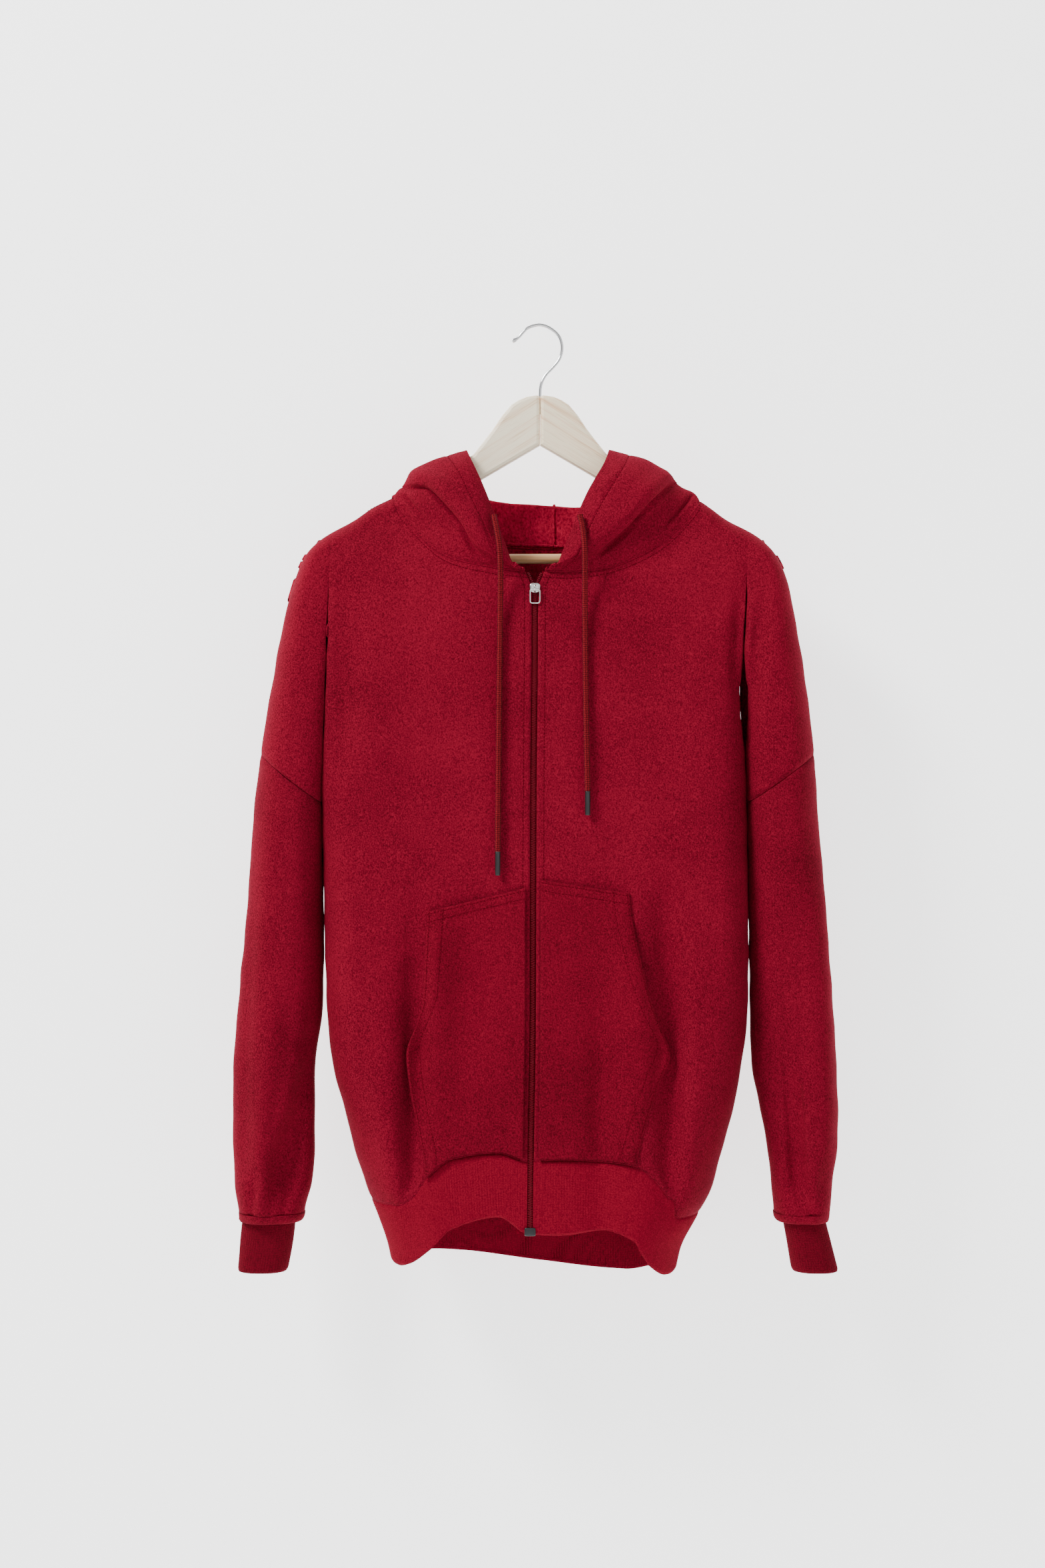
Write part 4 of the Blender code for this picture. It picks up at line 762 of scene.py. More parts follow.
# The waistband's copy of the rib is lighter than the cuffs': painted light, against the shade under the
# fronts.
BAND_LIT_LOOK = knit_rib("crimson_rib_band_painted_light", (0.1, 0.0012, 0.0075), (0.25, 0.0055, 0.021))
TAPE_LOOK = knit_rib("zip_weave", (0.07, 0.0004, 0.004), (0.16, 0.001, 0.01))
THREAD_LOOK = knit_rib("sewing_thread", (0.065, 0.0003, 0.0036), (0.15, 0.0008, 0.0095))
COIL_LOOK = plain_plastic("coil_filament", (0.16, 0.0015, 0.011), 0.42, 0.15)
CORD_LOOK = braid("cord_braid")
STEEL_LOOK = bright_metal("plated_steel", (0.72, 0.71, 0.69), 0.16)
HOOK_LOOK = bright_metal("hook_chrome", (0.68, 0.68, 0.69), 0.1, 0.08)
DARK_LOOK = bright_metal("dark_plating", (0.05, 0.05, 0.052), 0.3)
TIP_LOOK = plain_plastic("cord_tip_sleeve", (0.012, 0.012, 0.013), 0.28)
WOOD_LOOKS = {LEFT: wood("pale_wood_left", (0.82, 0.58, 0.36), (0.96, 0.83, 0.62), 0.556),
              RIGHT: wood("pale_wood_right", (0.76, 0.48, 0.27), (0.96, 0.80, 0.57), -0.556)}
BAR_LOOK = wood("bar_wood", (0.42, 0.22, 0.09), (0.60, 0.35, 0.16), 0.0, 0.4)


# ---------------------------------------------------------------- mesh making

def mesh_piece(name, points, quads, looks, uv=None):
    """An object from points in millimetres and an array of quads; uv is one row per point."""
    mesh = bpy.data.meshes.new(name)
    mesh.vertices.add(len(points))
    mesh.vertices.foreach_set("co", (np.asarray(points) * MM).ravel())
    mesh.loops.add(quads.size)
    mesh.loops.foreach_set("vertex_index", quads.ravel().astype(np.int32))
    mesh.polygons.add(len(quads))
    mesh.polygons.foreach_set("loop_start", np.arange(0, quads.size, quads.shape[1], dtype=np.int32))
    if uv is not None:
        layer = mesh.uv_layers.new(name="run")
        layer.data.foreach_set("uv", np.asarray(uv)[quads.ravel()].ravel())
    mesh.update(calc_edges=True)
    mesh.validate()
    mesh.shade_smooth()
    made = bpy.data.objects.new(name, mesh)
    bpy.context.scene.collection.objects.link(made)
    for look in looks:
        mesh.materials.append(look)
    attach(made, "garment")
    return made


def cleaned(mesh, close=False, weld=0.0):
    """Weld a mesh's doubled points, close its open ends and turn its faces outward."""
    shape = bmesh.new()
    shape.from_mesh(mesh)
    if weld:
        bmesh.ops.remove_doubles(shape, verts=shape.verts, dist=weld)
    if close:
        bmesh.ops.holes_fill(shape, edges=[edge for edge in shape.edges if edge.is_boundary])
    bmesh.ops.recalc_face_normals(shape, faces=shape.faces)
    shape.to_mesh(mesh)
    shape.free()
    mesh.shade_smooth()


def grid_quads(rows, columns, start=0):
    """Quads of a grid whose points are stored row by row."""
    index = start + np.arange(rows * columns).reshape(rows, columns)
    corners = (index[:-1, :-1], index[1:, :-1], index[1:, 1:], index[:-1, 1:])
    return np.stack(corners, axis=-1).reshape(-1, 4)


def runs(points):
    """Distances run along both ways of a grid, in millimetres."""
    across = np.linalg.norm(np.diff(points, axis=0), axis=-1)
    down = np.linalg.norm(np.diff(points, axis=1), axis=-1)
    u = np.concatenate([np.zeros((1, points.shape[1])), np.cumsum(across, axis=0)])
    v = np.concatenate([np.zeros((points.shape[0], 1)), np.cumsum(down, axis=1)], axis=1)
    return u, v


def cloth(name, blocks, looks, thick, weld=0.09):
    """Sheets that share edges made one cloth: grids welded at their edges, then given thickness."""
    points = []
    quads = []
    uvs = []
    count = 0
    for grid, normal in blocks:
        facing = np.cross(grid[1:, 1:] - grid[:-1, :-1], grid[:-1, 1:] - grid[1:, :-1])
        block_quads = grid_quads(*grid.shape[:2], count)
        if np.sum(facing * normal[:-1, :-1]) < 0:
            block_quads = block_quads[:, ::-1]
        quads.append(block_quads)
        points.append(grid.reshape(-1, 3))
        uvs.append(np.stack(runs(grid), axis=-1).reshape(-1, 2))
        count += grid.shape[0] * grid.shape[1]
    made = mesh_piece(name, np.vstack(points), np.vstack(quads), looks, np.vstack(uvs))
    shape = bmesh.new()
    shape.from_mesh(made.data)
    bmesh.ops.remove_doubles(shape, verts=shape.verts, dist=weld * MM)
    shape.to_mesh(made.data)
    shape.free()
    made.data.shade_smooth()
    solid = made.modifiers.new("thickness", "SOLIDIFY")
    solid.thickness = thick * MM
    solid.offset = -1
    solid.material_offset = len(looks) - 1
    solid.material_offset_rim = 0
    return made


def tube(name, path, radius, look, sides=12, across=(0.0, 1.0, 0.0), ripple=None):
    """Round tube: circles of a given radius set square to a path, with closed ends.

    ripple is a function of turn and distance run that is added to the radius.
    """
    path = np.asarray(path, dtype=float)
    radius = np.broadcast_to(radius, len(path))
    tangents = np.gradient(path, axis=0)
    tangents /= np.linalg.norm(tangents, axis=1, keepdims=True)
    path = np.vstack([path[:1], path, path[-1:]])
    tangents = np.vstack([tangents[:1], tangents, tangents[-1:]])
    radius = np.concatenate([[radius[0] * 0.05], radius, [radius[-1] * 0.05]])
    one = np.cross(tangents, np.asarray(across))
    one /= np.linalg.norm(one, axis=1, keepdims=True)
    two = np.cross(tangents, one)
    turn = np.linspace(0, 2 * np.pi, sides + 1)
    run = np.concatenate([[0], np.cumsum(np.linalg.norm(np.diff(path, axis=0), axis=1))])
    grown = radius[:, None] + (ripple(turn[None, :], run[:, None]) if ripple else 0)
    ring = np.cos(turn)[None, :, None] * one[:, None] + np.sin(turn)[None, :, None] * two[:, None]
    points = path[:, None] + grown[..., None] * ring
    uv = np.stack(np.broadcast_arrays(turn[None, :] * radius.max(), run[:, None]), axis=-1)
    quads = grid_quads(len(path), sides + 1)
    made = mesh_piece(name, points.reshape(-1, 3), quads, [look], uv.reshape(-1, 2))
    cleaned(made.data, True, 2e-6)
    return made


def inset_line(block, edge, distance):
    """The line on a grid at a distance, measured on the cloth, from one of its four edges."""
    points, normals = block
    if edge in ("v0", "v1"):
        points = points.transpose(1, 0, 2)
        normals = normals.transpose(1, 0, 2)
    if edge in ("u1", "v1"):
        points = points[::-1]
        normals = normals[::-1]
    run = runs(points)[0]
    upper = np.clip((run < distance).sum(axis=0), 1, len(run) - 1)
    columns = np.arange(run.shape[1])
    low = run[upper - 1, columns]
    share = np.clip((distance - low) / (run[upper, columns] - low + 1e-9), 0, 1)[:, None]
    line = points[upper - 1, columns] * (1 - share) + points[upper, columns] * share
    return line, normals[upper, columns]


def along(at, run, rows):
    """Rows of three numbers read at distances run."""
    return np.stack([np.interp(at, run, rows[:, k]) for k in range(3)], axis=-1)


def stitches(name, lines, pitch=3.0, length=2.2, radius=0.3, lift=0.12):
    """Rows of lockstitch: one short rounded bar for each step along each line on the cloth."""
    middles, ways, ups = [], [], []
    for line, normals in lines:
        run = np.concatenate([[0], np.cumsum(np.linalg.norm(np.diff(line, axis=0), axis=1))])
        at = np.arange(pitch / 2, run[-1], pitch)
        middles.append(along(at, run, line))
        ways.append(along(at + 0.5, run, line) - along(at - 0.5, run, line))
        ups.append(along(at, run, normals))
    middle = np.vstack(middles)
    way = np.vstack(ways)
    way /= np.linalg.norm(way, axis=1, keepdims=True)
    up = np.vstack(ups)
    up -= way * np.sum(up * way, axis=1, keepdims=True)
    up /= np.linalg.norm(up, axis=1, keepdims=True)
    side = np.cross(way, up)
    stations = np.array([-0.5, -0.36, 0.36, 0.5]) * length
    sizes = np.array([0.35, 1.0, 1.0, 0.35]) * radius
    heights = np.array([-0.25, 0.0, 0.0, -0.25]) + lift
    turn = np.arange(5) * 2 * np.pi / 5
    local = np.stack([np.broadcast_to(stations[:, None], (4, 5)), sizes[:, None] * np.cos(turn),
                      sizes[:, None] * np.sin(turn) + heights[:, None]], axis=-1).reshape(-1, 3)
    axes = np.stack([way, side, up], axis=1)
    points = middle[:, None] + np.einsum("pk,nkc->npc", local, axes)
    wrap = np.arange(20).reshape(4, 5)
    wrap = np.concatenate([wrap, wrap[:, :1]], axis=1)
    quads = np.stack([wrap[:-1, :-1], wrap[:-1, 1:], wrap[1:, 1:], wrap[1:, :-1]], axis=-1).reshape(-1, 4)
    quads = np.vstack([quads, [[0, 4, 3, 2], [15, 16, 17, 18]]])
    triangles = np.array([[0, 2, 1], [15, 18, 19]])
    offsets = np.arange(len(middle))[:, None, None] * 20
    faces = (quads[None] + offsets).reshape(-1, 4).tolist()
    faces += (triangles[None] + offsets).reshape(-1, 3).tolist()
    mesh = bpy.data.meshes.new(name)
    mesh.from_pydata((points.reshape(-1, 3) * MM).tolist(), [], faces)
    cleaned(mesh)
    made = bpy.data.objects.new(name, mesh)
    bpy.context.scene.collection.objects.link(made)
    mesh.materials.append(THREAD_LOOK)
    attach(made, "garment")
    return made


# ---------------------------------------------------------------- folds

# Creases: rows of x, z, height (below zero for a trough) and width.
FOLD_GAIN = 1.5   # creases of the body and sleeves are this much deeper than written
FOLDS = {
    "front_left": [
        [(-176, -226, 0.0, 16), (-170, -275, -2.2, 15), (-172, -340, -2.6, 12), (-178, -400, -1.2, 9)],
        [(-148, -235, 0.0, 20), (-146, -300, 1.2, 22), (-150, -380, 1.6, 22), (-156, -470, 0.0, 18)],
        [(-60, -420, 0.0, 26), (-66, -520, -1.2, 24), (-70, -600, -1.8, 22), (-76, -700, -1.2, 18)],
        [(-110, -500, 0.0, 12), (-111, -580, -2.4, 11), (-112, -690, -4.6, 10), (-112, -778, -4.2, 9)],
        [(-140, -560, 0.0, 16), (-137, -640, 2.2, 15), (-131, -720, 3.0, 14), (-124, -780, 2.2, 12)],
        [(-90, -480, 0.0, 14), (-90, -560, 1.6, 14), (-93, -680, 2.0, 14), (-97, -760, 0.8, 12)],
    ],
    "front_right": [
        [(181, -235, 0.0, 9), (178, -262, -2.4, 7), (176, -300, -2.6, 7), (178, -350, -1.2, 7)],
        [(196, -240, 0.0, 8), (194, -275, -2.2, 8), (189, -320, -3.0, 8), (186, -370, -1.5, 7)],
        [(187, -236, 0.0, 6), (186, -270, 1.8, 6), (182, -318, 1.4, 5)],
        [(150, -240, 0.0, 20), (146, -320, 1.4, 22), (148, -420, 1.6, 20), (152, -520, 0.0, 18)],
        [(84, -440, 0.0, 16), (86, -520, 1.6, 15), (88, -640, 2.2, 14), (92, -750, 1.2, 12)],
        [(112, -470, 0.0, 12), (114, -560, -2.6, 11), (116, -680, -4.2, 10), (114, -770, -3.6, 9)],
        [(54, -560, 0.0, 11), (54, -640, -1.8, 10), (53, -730, -2.4, 9)],
        [(138, -520, 0.0, 14), (136, -620, 2.4, 14), (131, -720, 2.8, 13), (126, -785, 1.4, 12)],
        [(48, -300, 0.0, 26), (60, -380, -1.0, 26), (74, -460, -1.6, 22), (90, -520, 0.0, 18)],
    ],
    "back": [
        [(-150, -240, 0.0, 20), (-140, -340, -2.4, 18), (-128, -480, -2.8, 18), (-120, -640, -1.8, 20)],
        [(-88, -420, 0.0, 20), (-84, -540, 3.2, 18), (-78, -680, 4.0, 18), (-72, -790, 3.0, 16)],
        [(-30, -470, 0.0, 20), (-28, -600, -3.2, 18), (-34, -700, -4.0, 16), (-36, -800, -3.2, 14)],
        [(26, -440, 0.0, 20), (32, -560, 2.8, 18), (30, -700, 3.8, 16), (34, -800, 2.6, 14)],
        [(92, -400, 0.0, 20), (88, -540, -3.0, 18), (84, -700, -4.2, 16), (82, -800, -3.2, 14)],
        [(156, -240, 0.0, 18), (150, -340, -2.6, 16), (140, -470, -2.4, 16), (134, -620, 0.0, 18)],
    ],
    "sleeve_left": [
        [(-232, -560, 0.0, 10), (-238, -640, 2.0, 9), (-246, -720, 2.0, 8), (-252, -790, 0.5, 7)],
        [(-250, -420, 0.0, 10), (-256, -520, -1.6, 9), (-262, -640, -1.8, 8), (-264, -760, -1.0, 7)],
        [(-212, -700, 0.0, 6), (-219, -740, -2.0, 6), (-224, -775, -2.6, 5), (-230, -797, -1.2, 5)],
        [(-250, -745, 0.0, 6), (-254, -770, -2.2, 6), (-258, -795, -1.4, 5)],
        [(-240, -600, 0.0, 12), (-228, -625, -1.8, 9), (-214, -640, -1.4, 8)],
    ],
    "sleeve_right": [
        [(226, -470, 0.0, 10), (230, -580, -2.4, 9), (232, -680, -3.4, 8), (230, -765, -2.4, 7)],
        [(250, -430, 0.0, 9), (252, -560, 1.8, 8), (256, -700, 1.8, 8), (250, -780, 0.6, 7)],
        [(212, -560, 0.0, 8), (216, -640, 2.2, 7), (220, -730, 2.6, 6), (222, -790, 0.8, 6)],
        [(238, -740, 0.0, 6), (240, -770, -2.2, 5), (242, -795, -1.6, 5)],
        [(256, -730, 0.0, 6), (252, -765, -1.8, 6), (248, -792, -1.2, 5)],
    ],
}

# Rolls of the hood's front: x, z, depth of the tuck, how high the cloth above it rolls out.
HOOD_FOLDS = {
    LEFT: [[(-118, -146, 1.0, 1.5), (-112, -147, 3.5, 3.2), (-99.8, -150, 5.5, 4.4), (-85, -165, 6.0, 4.6),
            (-70, -183, 5.5, 4.2), (-58.6, -202, 3.6, 3.0), (-45.6, -214, 0.0, 1.0)],
           [(-122, -152, 0.0, 0.5), (-117, -157, 3.2, 1.8), (-109, -167, 3.4, 1.8), (-96, -182, 1.4, 1.0),
            (-88, -192, 0.0, 0.0)],
           [(-124, -160, 0.0, 0.4), (-120, -165, 1.8, 1.2), (-112, -178, 1.6, 1.0), (-100, -192, 0.0, 0.0)]],
    RIGHT: [[(121, -143, 1.0, 1.5), (113, -148, 3.5, 3.2), (97, -165, 5.6, 4.4), (79, -185, 6.0, 4.4),
             (60, -202, 4.0, 3.0), (48, -211, 0.0, 0.8)],
            [(138, -152, 0.0, 0.6), (132, -158, 2.6, 1.8), (120, -172, 2.6, 1.4), (104, -188, 0.0, 0.4)],
            [(146, -158, 0.0, 0.6), (140, -163, 2.4, 1.6), (130, -176, 2.0, 1.2), (114, -190, 0.0, 0.4)]],
}
HOOD_BACK_FOLDS = [
    [(-84, -190, 0.0, 10), (-72, -240, -1.4, 9), (-56, -300, -1.6, 9), (-40, -340, 0.0, 8)],
    [(-50, -200, 0.0, 12), (-40, -260, 2.6, 11), (-26, -330, 2.8, 10), (-12, -370, 0.0, 9)],
    [(98, -190, 0.0, 10), (88, -240, -1.4, 9), (74, -300, -1.6, 9), (60, -342, 0.0, 8)],
    [(64, -196, 0.0, 12), (58, -262, 2.8, 11), (46, -330, 2.4, 10), (34, -372, 0.0, 9)],
]


def nearest_on(line, x, z):
    """Distance to a crease's line, which side of it, and the line's two values at that place."""
    near = np.full(np.shape(x), 1e9)
    hand, first, second = np.zeros((3, *np.shape(x)))
    for start, end in zip(line[:-1], line[1:]):
        step = end[:2] - start[:2]
        t = np.clip(((x - start[0]) * step[0] + (z - start[1]) * step[1]) / (step @ step), 0, 1)
        dx = x - start[0] - t * step[0]
        dz = z - start[1] - t * step[1]
        away = np.hypot(dx, dz)
        closer = away < near
        near = np.where(closer, away, near)
        hand = np.where(closer, np.sign(step[0] * dz - step[1] * dx), hand)
        first = np.where(closer, start[2] + (end[2] - start[2]) * t, first)
        second = np.where(closer, start[3] + (end[3] - start[3]) * t, second)
    return near, hand, first, second


def roll_height(folds, x, z, side):
    """A roll of cloth over a tuck: a narrow trough on the line and a soft swell above it.

    With s the distance across the line, towards the free edge: a bell of width 2.2 cuts the
    tuck, and a bell of width 8 that is centred 9 above the line lifts the roll.
    """
    total = np.zeros(np.shape(x))
    for rows in folds:
        line = spline(rows, np.linspace(0, 1, 8 * len(rows)))
        near, hand, tuck, lift = nearest_on(line, x, z)
        cross = -side * hand * near
        total = total - tuck * np.exp(-((cross + 0.8) / 2.2) ** 2) + lift * np.exp(-((cross - 9) / 8) ** 2)
    return total


def fold_height(folds, x, z):
    """Sum of creases: each is a bell across its own line, its height and width eased along it."""
    total = np.zeros(np.shape(x))
    for rows in folds:
        near, _, high, wide = nearest_on(spline(rows, np.linspace(0, 1, 6 * len(rows))), x, z)
        total = total + high * np.exp(-(near / wide) ** 2)
    return total


def unevenness(points):
    """Slow waves under a millimetre high that keep hung cloth from looking drawn."""
    x, z = points[..., 0], points[..., 2]
    return (0.35 * np.sin(x / 17 + np.sin(z / 41) * 1.7) * np.sin(z / 29 + x / 60)
            + 0.22 * np.sin(x / 7.5 + z / 13 + 2 * np.sin(z / 23)) + 0.16 * np.sin(z / 6.1 - x / 9.7))


def hung(block, folds=(), seams=(), rows=(), neck=None):
    """Push a block in and out by its creases, its waves and the dips beside its seams.

    seams are (edge, depth, width): the cloth sinks by depth at that edge, over that width.
    rows are (edge, distance): a line of stitches that far in, with the cloth drawn down under it.
    neck is how far from x = 0 the dips of the upper edge end.
    """
    points, normals = block
    out = FOLD_GAIN * fold_height(folds, points[..., 0], points[..., 2]) + unevenness(points)
    u, v = runs(points)
    spans = {"u0": u, "u1": u[-1:] - u, "v0": v, "v1": v[:, -1:] - v}
    near_neck = 1.0 if neck is None else smooth((neck - np.abs(points[..., 0])) / 14)
    for edge, depth, width in seams:
        out = out * smooth(spans[edge] / 14)
    for edge, depth, width in seams:
        share = near_neck if edge == "v0" else 1.0
        out = out - depth * np.exp(-(spans[edge] / width) ** 2) * share
    for edge, distance in rows:
        share = near_neck if edge == "v0" else 1.0
        puff = 0.35 * np.exp(-((spans[edge] - distance * 0.5) / (0.35 * distance + 0.5)) ** 2)
        out = out + share * (puff - 0.5 * np.exp(-((spans[edge] - distance) / 1.1) ** 2))
    return points + normals * out[..., None], normals


# ---------------------------------------------------------------- the garment's blocks

def body_blocks(side, face, columns, rows):
    """Grids of one side of the front or the back: above the armhole seam, beside it, below."""
    def part_of(start, end, ease):
        def point(c, v):
            high = start(c)
            low = end(c)
            z = high + (low - high) * v ** ease
            x, y = body_point(side, face, c, z, seam_turn(face, z))
            if start is top:
                y = y + face * SEAM_HALF * smooth(1 - (high - z) / 3) * smooth((np.abs(x) - 90) / 30)
            return x, y, z
        return point

    def top(c):
        return top_point(side, face, c)

    def seam_level(c):
        return np.full(np.shape(c), SEAM_IN_Z)

    def underarm_level(c):
        return np.full(np.shape(c), UNDERARM_Z)

    def hem(c):
        return hem_point(side, face, c, 1) + SLANT_HALF

    cs = ring_steps(side, face, columns)
    spans = [(top, seam_level, RIDGE_EASE), (seam_level, underarm_level, 1.0),
             (underarm_level, hem, 1.0)]
    blocks = []
    for (start, end, ease), count in zip(spans, rows):
        grid = surface(part_of(start, end, ease), cs, np.linspace(0, 1, count))
        blocks.append(outward(*grid, (0, 0, -500)))
    return blocks


def shoulder_block(side, face, columns, rows):
    """Grid between the groove and the outer edge, shoulder ridge to armhole seam."""
    high = float(top_point(side, face, np.array([1.0]))[0])
    high_x = float(groove_x(side, high))
    end_x = float(outer_x(side, SHOULDER_END_Z))
    low_in = float(groove_x(side, SEAM_IN_Z))
    low_out = float(outer_x(side, SEAM_OUT_Z))

    def point(c, v):
        f = (1 - np.cos(np.pi * c)) / 2
        g = v ** RIDGE_EASE
        in_z = high + (SEAM_IN_Z - high) * g
        out_z = SHOULDER_END_Z + (SEAM_OUT_Z - SHOULDER_END_Z) * g
        seam_z = SEAM_IN_Z + (SEAM_OUT_Z - SEAM_IN_Z) * f
        seam_x = sleeve_inner_x(side, seam_z) * (1 - f) + outer_x(side, seam_z) * f
        straight = low_in * (1 - f) + low_out * f
        x = groove_x(side, in_z) * (1 - f) + outer_x(side, out_z) * f + g ** 2 * (seam_x - straight)
        bow = ridge_z(side, high_x * (1 - f) + end_x * f) - (high * (1 - f) + SHOULDER_END_Z * f)
        z = in_z * (1 - f) + out_z * f + (1 - g) ** 2 * bow
        on_edge = np.maximum(smooth(1 - v * 30), smooth((c - 0.97) / 0.03))
        y = upper_arm_y(side, face, x, z) + face * SEAM_HALF * on_edge
        return x, y, z + SLANT_HALF * smooth(v * 40 - 39)

    grid = surface(point, np.linspace(0, 1, columns), np.linspace(0, 1, rows))
    return outward(*grid, (side * 215, 0, -330))


def sleeve_blocks(side, face, columns, rows):
    """Grids of one half of a sleeve: armhole seam to underarm, on to the cuff, and the roll over it."""
    def upper(c, v):
        share = (1 - np.cos(np.pi * c)) / 2
        seam = SEAM_IN_Z + (SEAM_OUT_Z - SEAM_IN_Z) * share - SLANT_HALF
        z = seam + (UNDERARM_Z - seam) * v
        return (*sleeve_point(side, face, c, z), z)

    def lower(c, v):
        z = UNDERARM_Z + (SLEEVE_END_Z - UNDERARM_Z) * v + 0 * c
        return (*sleeve_point(side, face, c, z), z)

    def roll(c, v):
        turn = v * BULB_TURN
        x0, y0 = sleeve_point(side, face, c, SLEEVE_END_Z + 0 * c)
        z = SLEEVE_END_Z - BULB * np.sin(turn)
        x1, y1 = cuff_point(side, face, c, z, 0.7)
        share = (1 - np.cos(turn)) / (1 - math.cos(BULB_TURN))
        return x0 + (x1 - x0) * share, y0 + (y1 - y0) * share, z

    cs = np.linspace(0, 1, columns)
    blocks = []
    sign = 1
    for function, count in zip((upper, lower, roll), rows):
        points, normals = surface(function, cs, np.linspace(0, 1, count))
        if function is upper:
            sign = np.sign(np.sum(outward(points, normals, (side * 238, 0, -600))[1] * normals))
        blocks.append((points, normals * sign))
    return blocks


def cuff_blocks(side, columns, rows):
    blocks = []
    for face in (FRONT, BACK):
        def point(c, v, face=face):
            z = CUFF_TOP_Z + (CUFF_END_Z - CUFF_TOP_Z) * v
            return (*cuff_point(side, face, c, z), z)
        grid = surface(point, np.linspace(0, 1, columns), np.linspace(0, 1, rows))
        blocks.append(outward(*grid, (side * 244, 4, -825)))
    return blocks


def band_blocks(columns_front, columns_back, rows):
    """Grids of the waistband, all round from one side of the zip to the other."""
    blocks = []
    for side in (LEFT, RIGHT):
        for face, columns in ((FRONT, columns_front), (BACK, columns_back)):
            def point(c, v, side=side, face=face):
                high = hem_point(side, face, c, 1, 0.0) - SLANT_HALF
                low = hem_point(side, face, c, 2, 0.0)
                z = high + (low - high) * v
                x, y = body_point(side, face, c, z, seam_turn(face, z, 0.0))
                return x, y, z
            grid = surface(point, np.linspace(0, 1, columns), np.linspace(0, 1, rows))
            blocks.append(outward(*grid, (0, 0, -800)))
    return blocks


def ribbed(block, pitch, height, fade=4.0):
    """Ribs up a band: a rounded wave along the run of the cloth, flat at its two edges."""
    points, normals = block
    u, v = runs(points)
    wave = np.abs(np.cos(np.pi * u / pitch)) ** 0.8 - 1
    edge = smooth(np.minimum(v, v[:, -1:] - v) / fade)
    slow = 0.5 * np.sin(u / 21 + np.sin(v / 19)) * edge
    roll = -0.9 * (np.exp(-(v / 1.6) ** 2) + np.exp(-((v[:, -1:] - v) / 1.6) ** 2))
    return points + normals * (height * wave * (0.35 + 0.65 * edge) + slow + roll)[..., None], normals


def hood_block(side, columns, rows):
    """Grid of half the hood: ribs round the neck, each from the neck seam to the free edge."""
    ribs = HOOD_LEFT if side == LEFT else HOOD_RIGHT
    last = len(ribs) - 1

    def point(a, w):
        points = hood_rib_curve(ribs, a, w)
        seam = hood_rib_curve(ribs, a, np.zeros(a.shape))
        front = -side_depth(side, FRONT, seam[..., 0], seam[..., 2])
        back = side_depth(side, BACK, seam[..., 0], seam[..., 2])
        past = smooth((a * last - SHOULDER_RIB + 0.08) / 0.16)
        shift = (front * (1 - past) + back * past - seam[..., 1]) * smooth(1 - w * 6)
        return points[..., 0] + side * SEAM_HALF * a, points[..., 1] + shift, points[..., 2]

    points, normals = surface(point, np.linspace(0, 1, columns), np.linspace(0, 1, rows))
    if normals[columns // 4, 0, 1] > 0:
        normals = -normals
    return points, normals


def pocket_block(side, columns, rows):
    """Grid of one pocket: the front panel's own points, moved out."""
    high_in, high_out = POCKET_TOP_Z[side]
    mouth_high, mouth_low = POCKET_MOUTH_Z

    def point(c, v):
        top = high_in + (high_out - high_in) * c
        low = table(FRONT_HEM, 1, side * 60 * c) + 0.0 * v
        z = top + (low - top) * v
        for _ in range(4):
            reach = side * table(POCKET, 1 if side == LEFT else 2, z)
            start = zip_x(z) + side * (PANEL_TO_ZIP + 4.0)
            x = start + (reach - start) * c
            low = table(FRONT_HEM, 1, x) + 1.5
            z = top + (low - top) * v
        y = -side_depth(side, FRONT, x, z) + troughs(x, z)
        mouth = np.sin(np.pi * np.clip((mouth_high - z) / (mouth_high - mouth_low), 0, 1))
        lift = POCKET_GAP + CLOTH + POCKET_PUFF * mouth * smooth((c - 0.35) / 0.65)
        return x, y - lift, z

    grid = surface(point, np.linspace(0, 1, columns), np.linspace(0, 1, rows))
    return outward(*grid, (0, 200, -600))


# ---------------------------------------------------------------- camera and drawcords

camera = bpy.data.cameras.new("camera")
camera.lens = 50
camera.sensor_width = 36
camera.clip_end = 20
eye = bpy.data.objects.new("camera", camera)
eye.location = (-0.015, -1.96, -0.4116)
eye.rotation_euler = (math.pi / 2, 0, 0)
bpy.context.scene.collection.objects.link(eye)
bpy.context.scene.camera = eye


def drawcord(tag, route):
    """A drawcord: a 5 mm round braid on the curve it hangs in."""
    path = spline(route, np.linspace(0, 1, 260))

    def strands(turn, run):
        return 0.3 * np.sin(3 * turn + run * 1.9) * np.sin(3 * turn - run * 1.9)

    cord = tube("cord_braid_" + tag, path, CORD_R - 0.1, CORD_LOOK, 18, ripple=strands)
    end = path[-1]
    zs = np.array([0.6, 0.0, -0.5, -1.2, -1.7, -2.4, -10, -18.4, -19.0, -19.8, -AGLET_LEN, -AGLET_LEN - 0.3])
    radii = np.array([2.25, 2.45, 2.5, 2.4, 2.25, 2.4, 2.42, 2.4, 2.25, 2.4, 2.3, 1.7]) * 0.97
    tip = tube("cord_tip_" + tag, end + np.stack([0 * zs, 0 * zs, zs - 0.3], axis=-1), radii, TIP_LOOK, 20)
    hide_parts("drawcord_" + tag)
    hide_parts("aglet_" + tag)


drawcord("left", CORD_LEFT)
drawcord("right", CORD_RIGHT)


# ---------------------------------------------------------------- cloth

def finish_cloth(node):
    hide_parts(node)


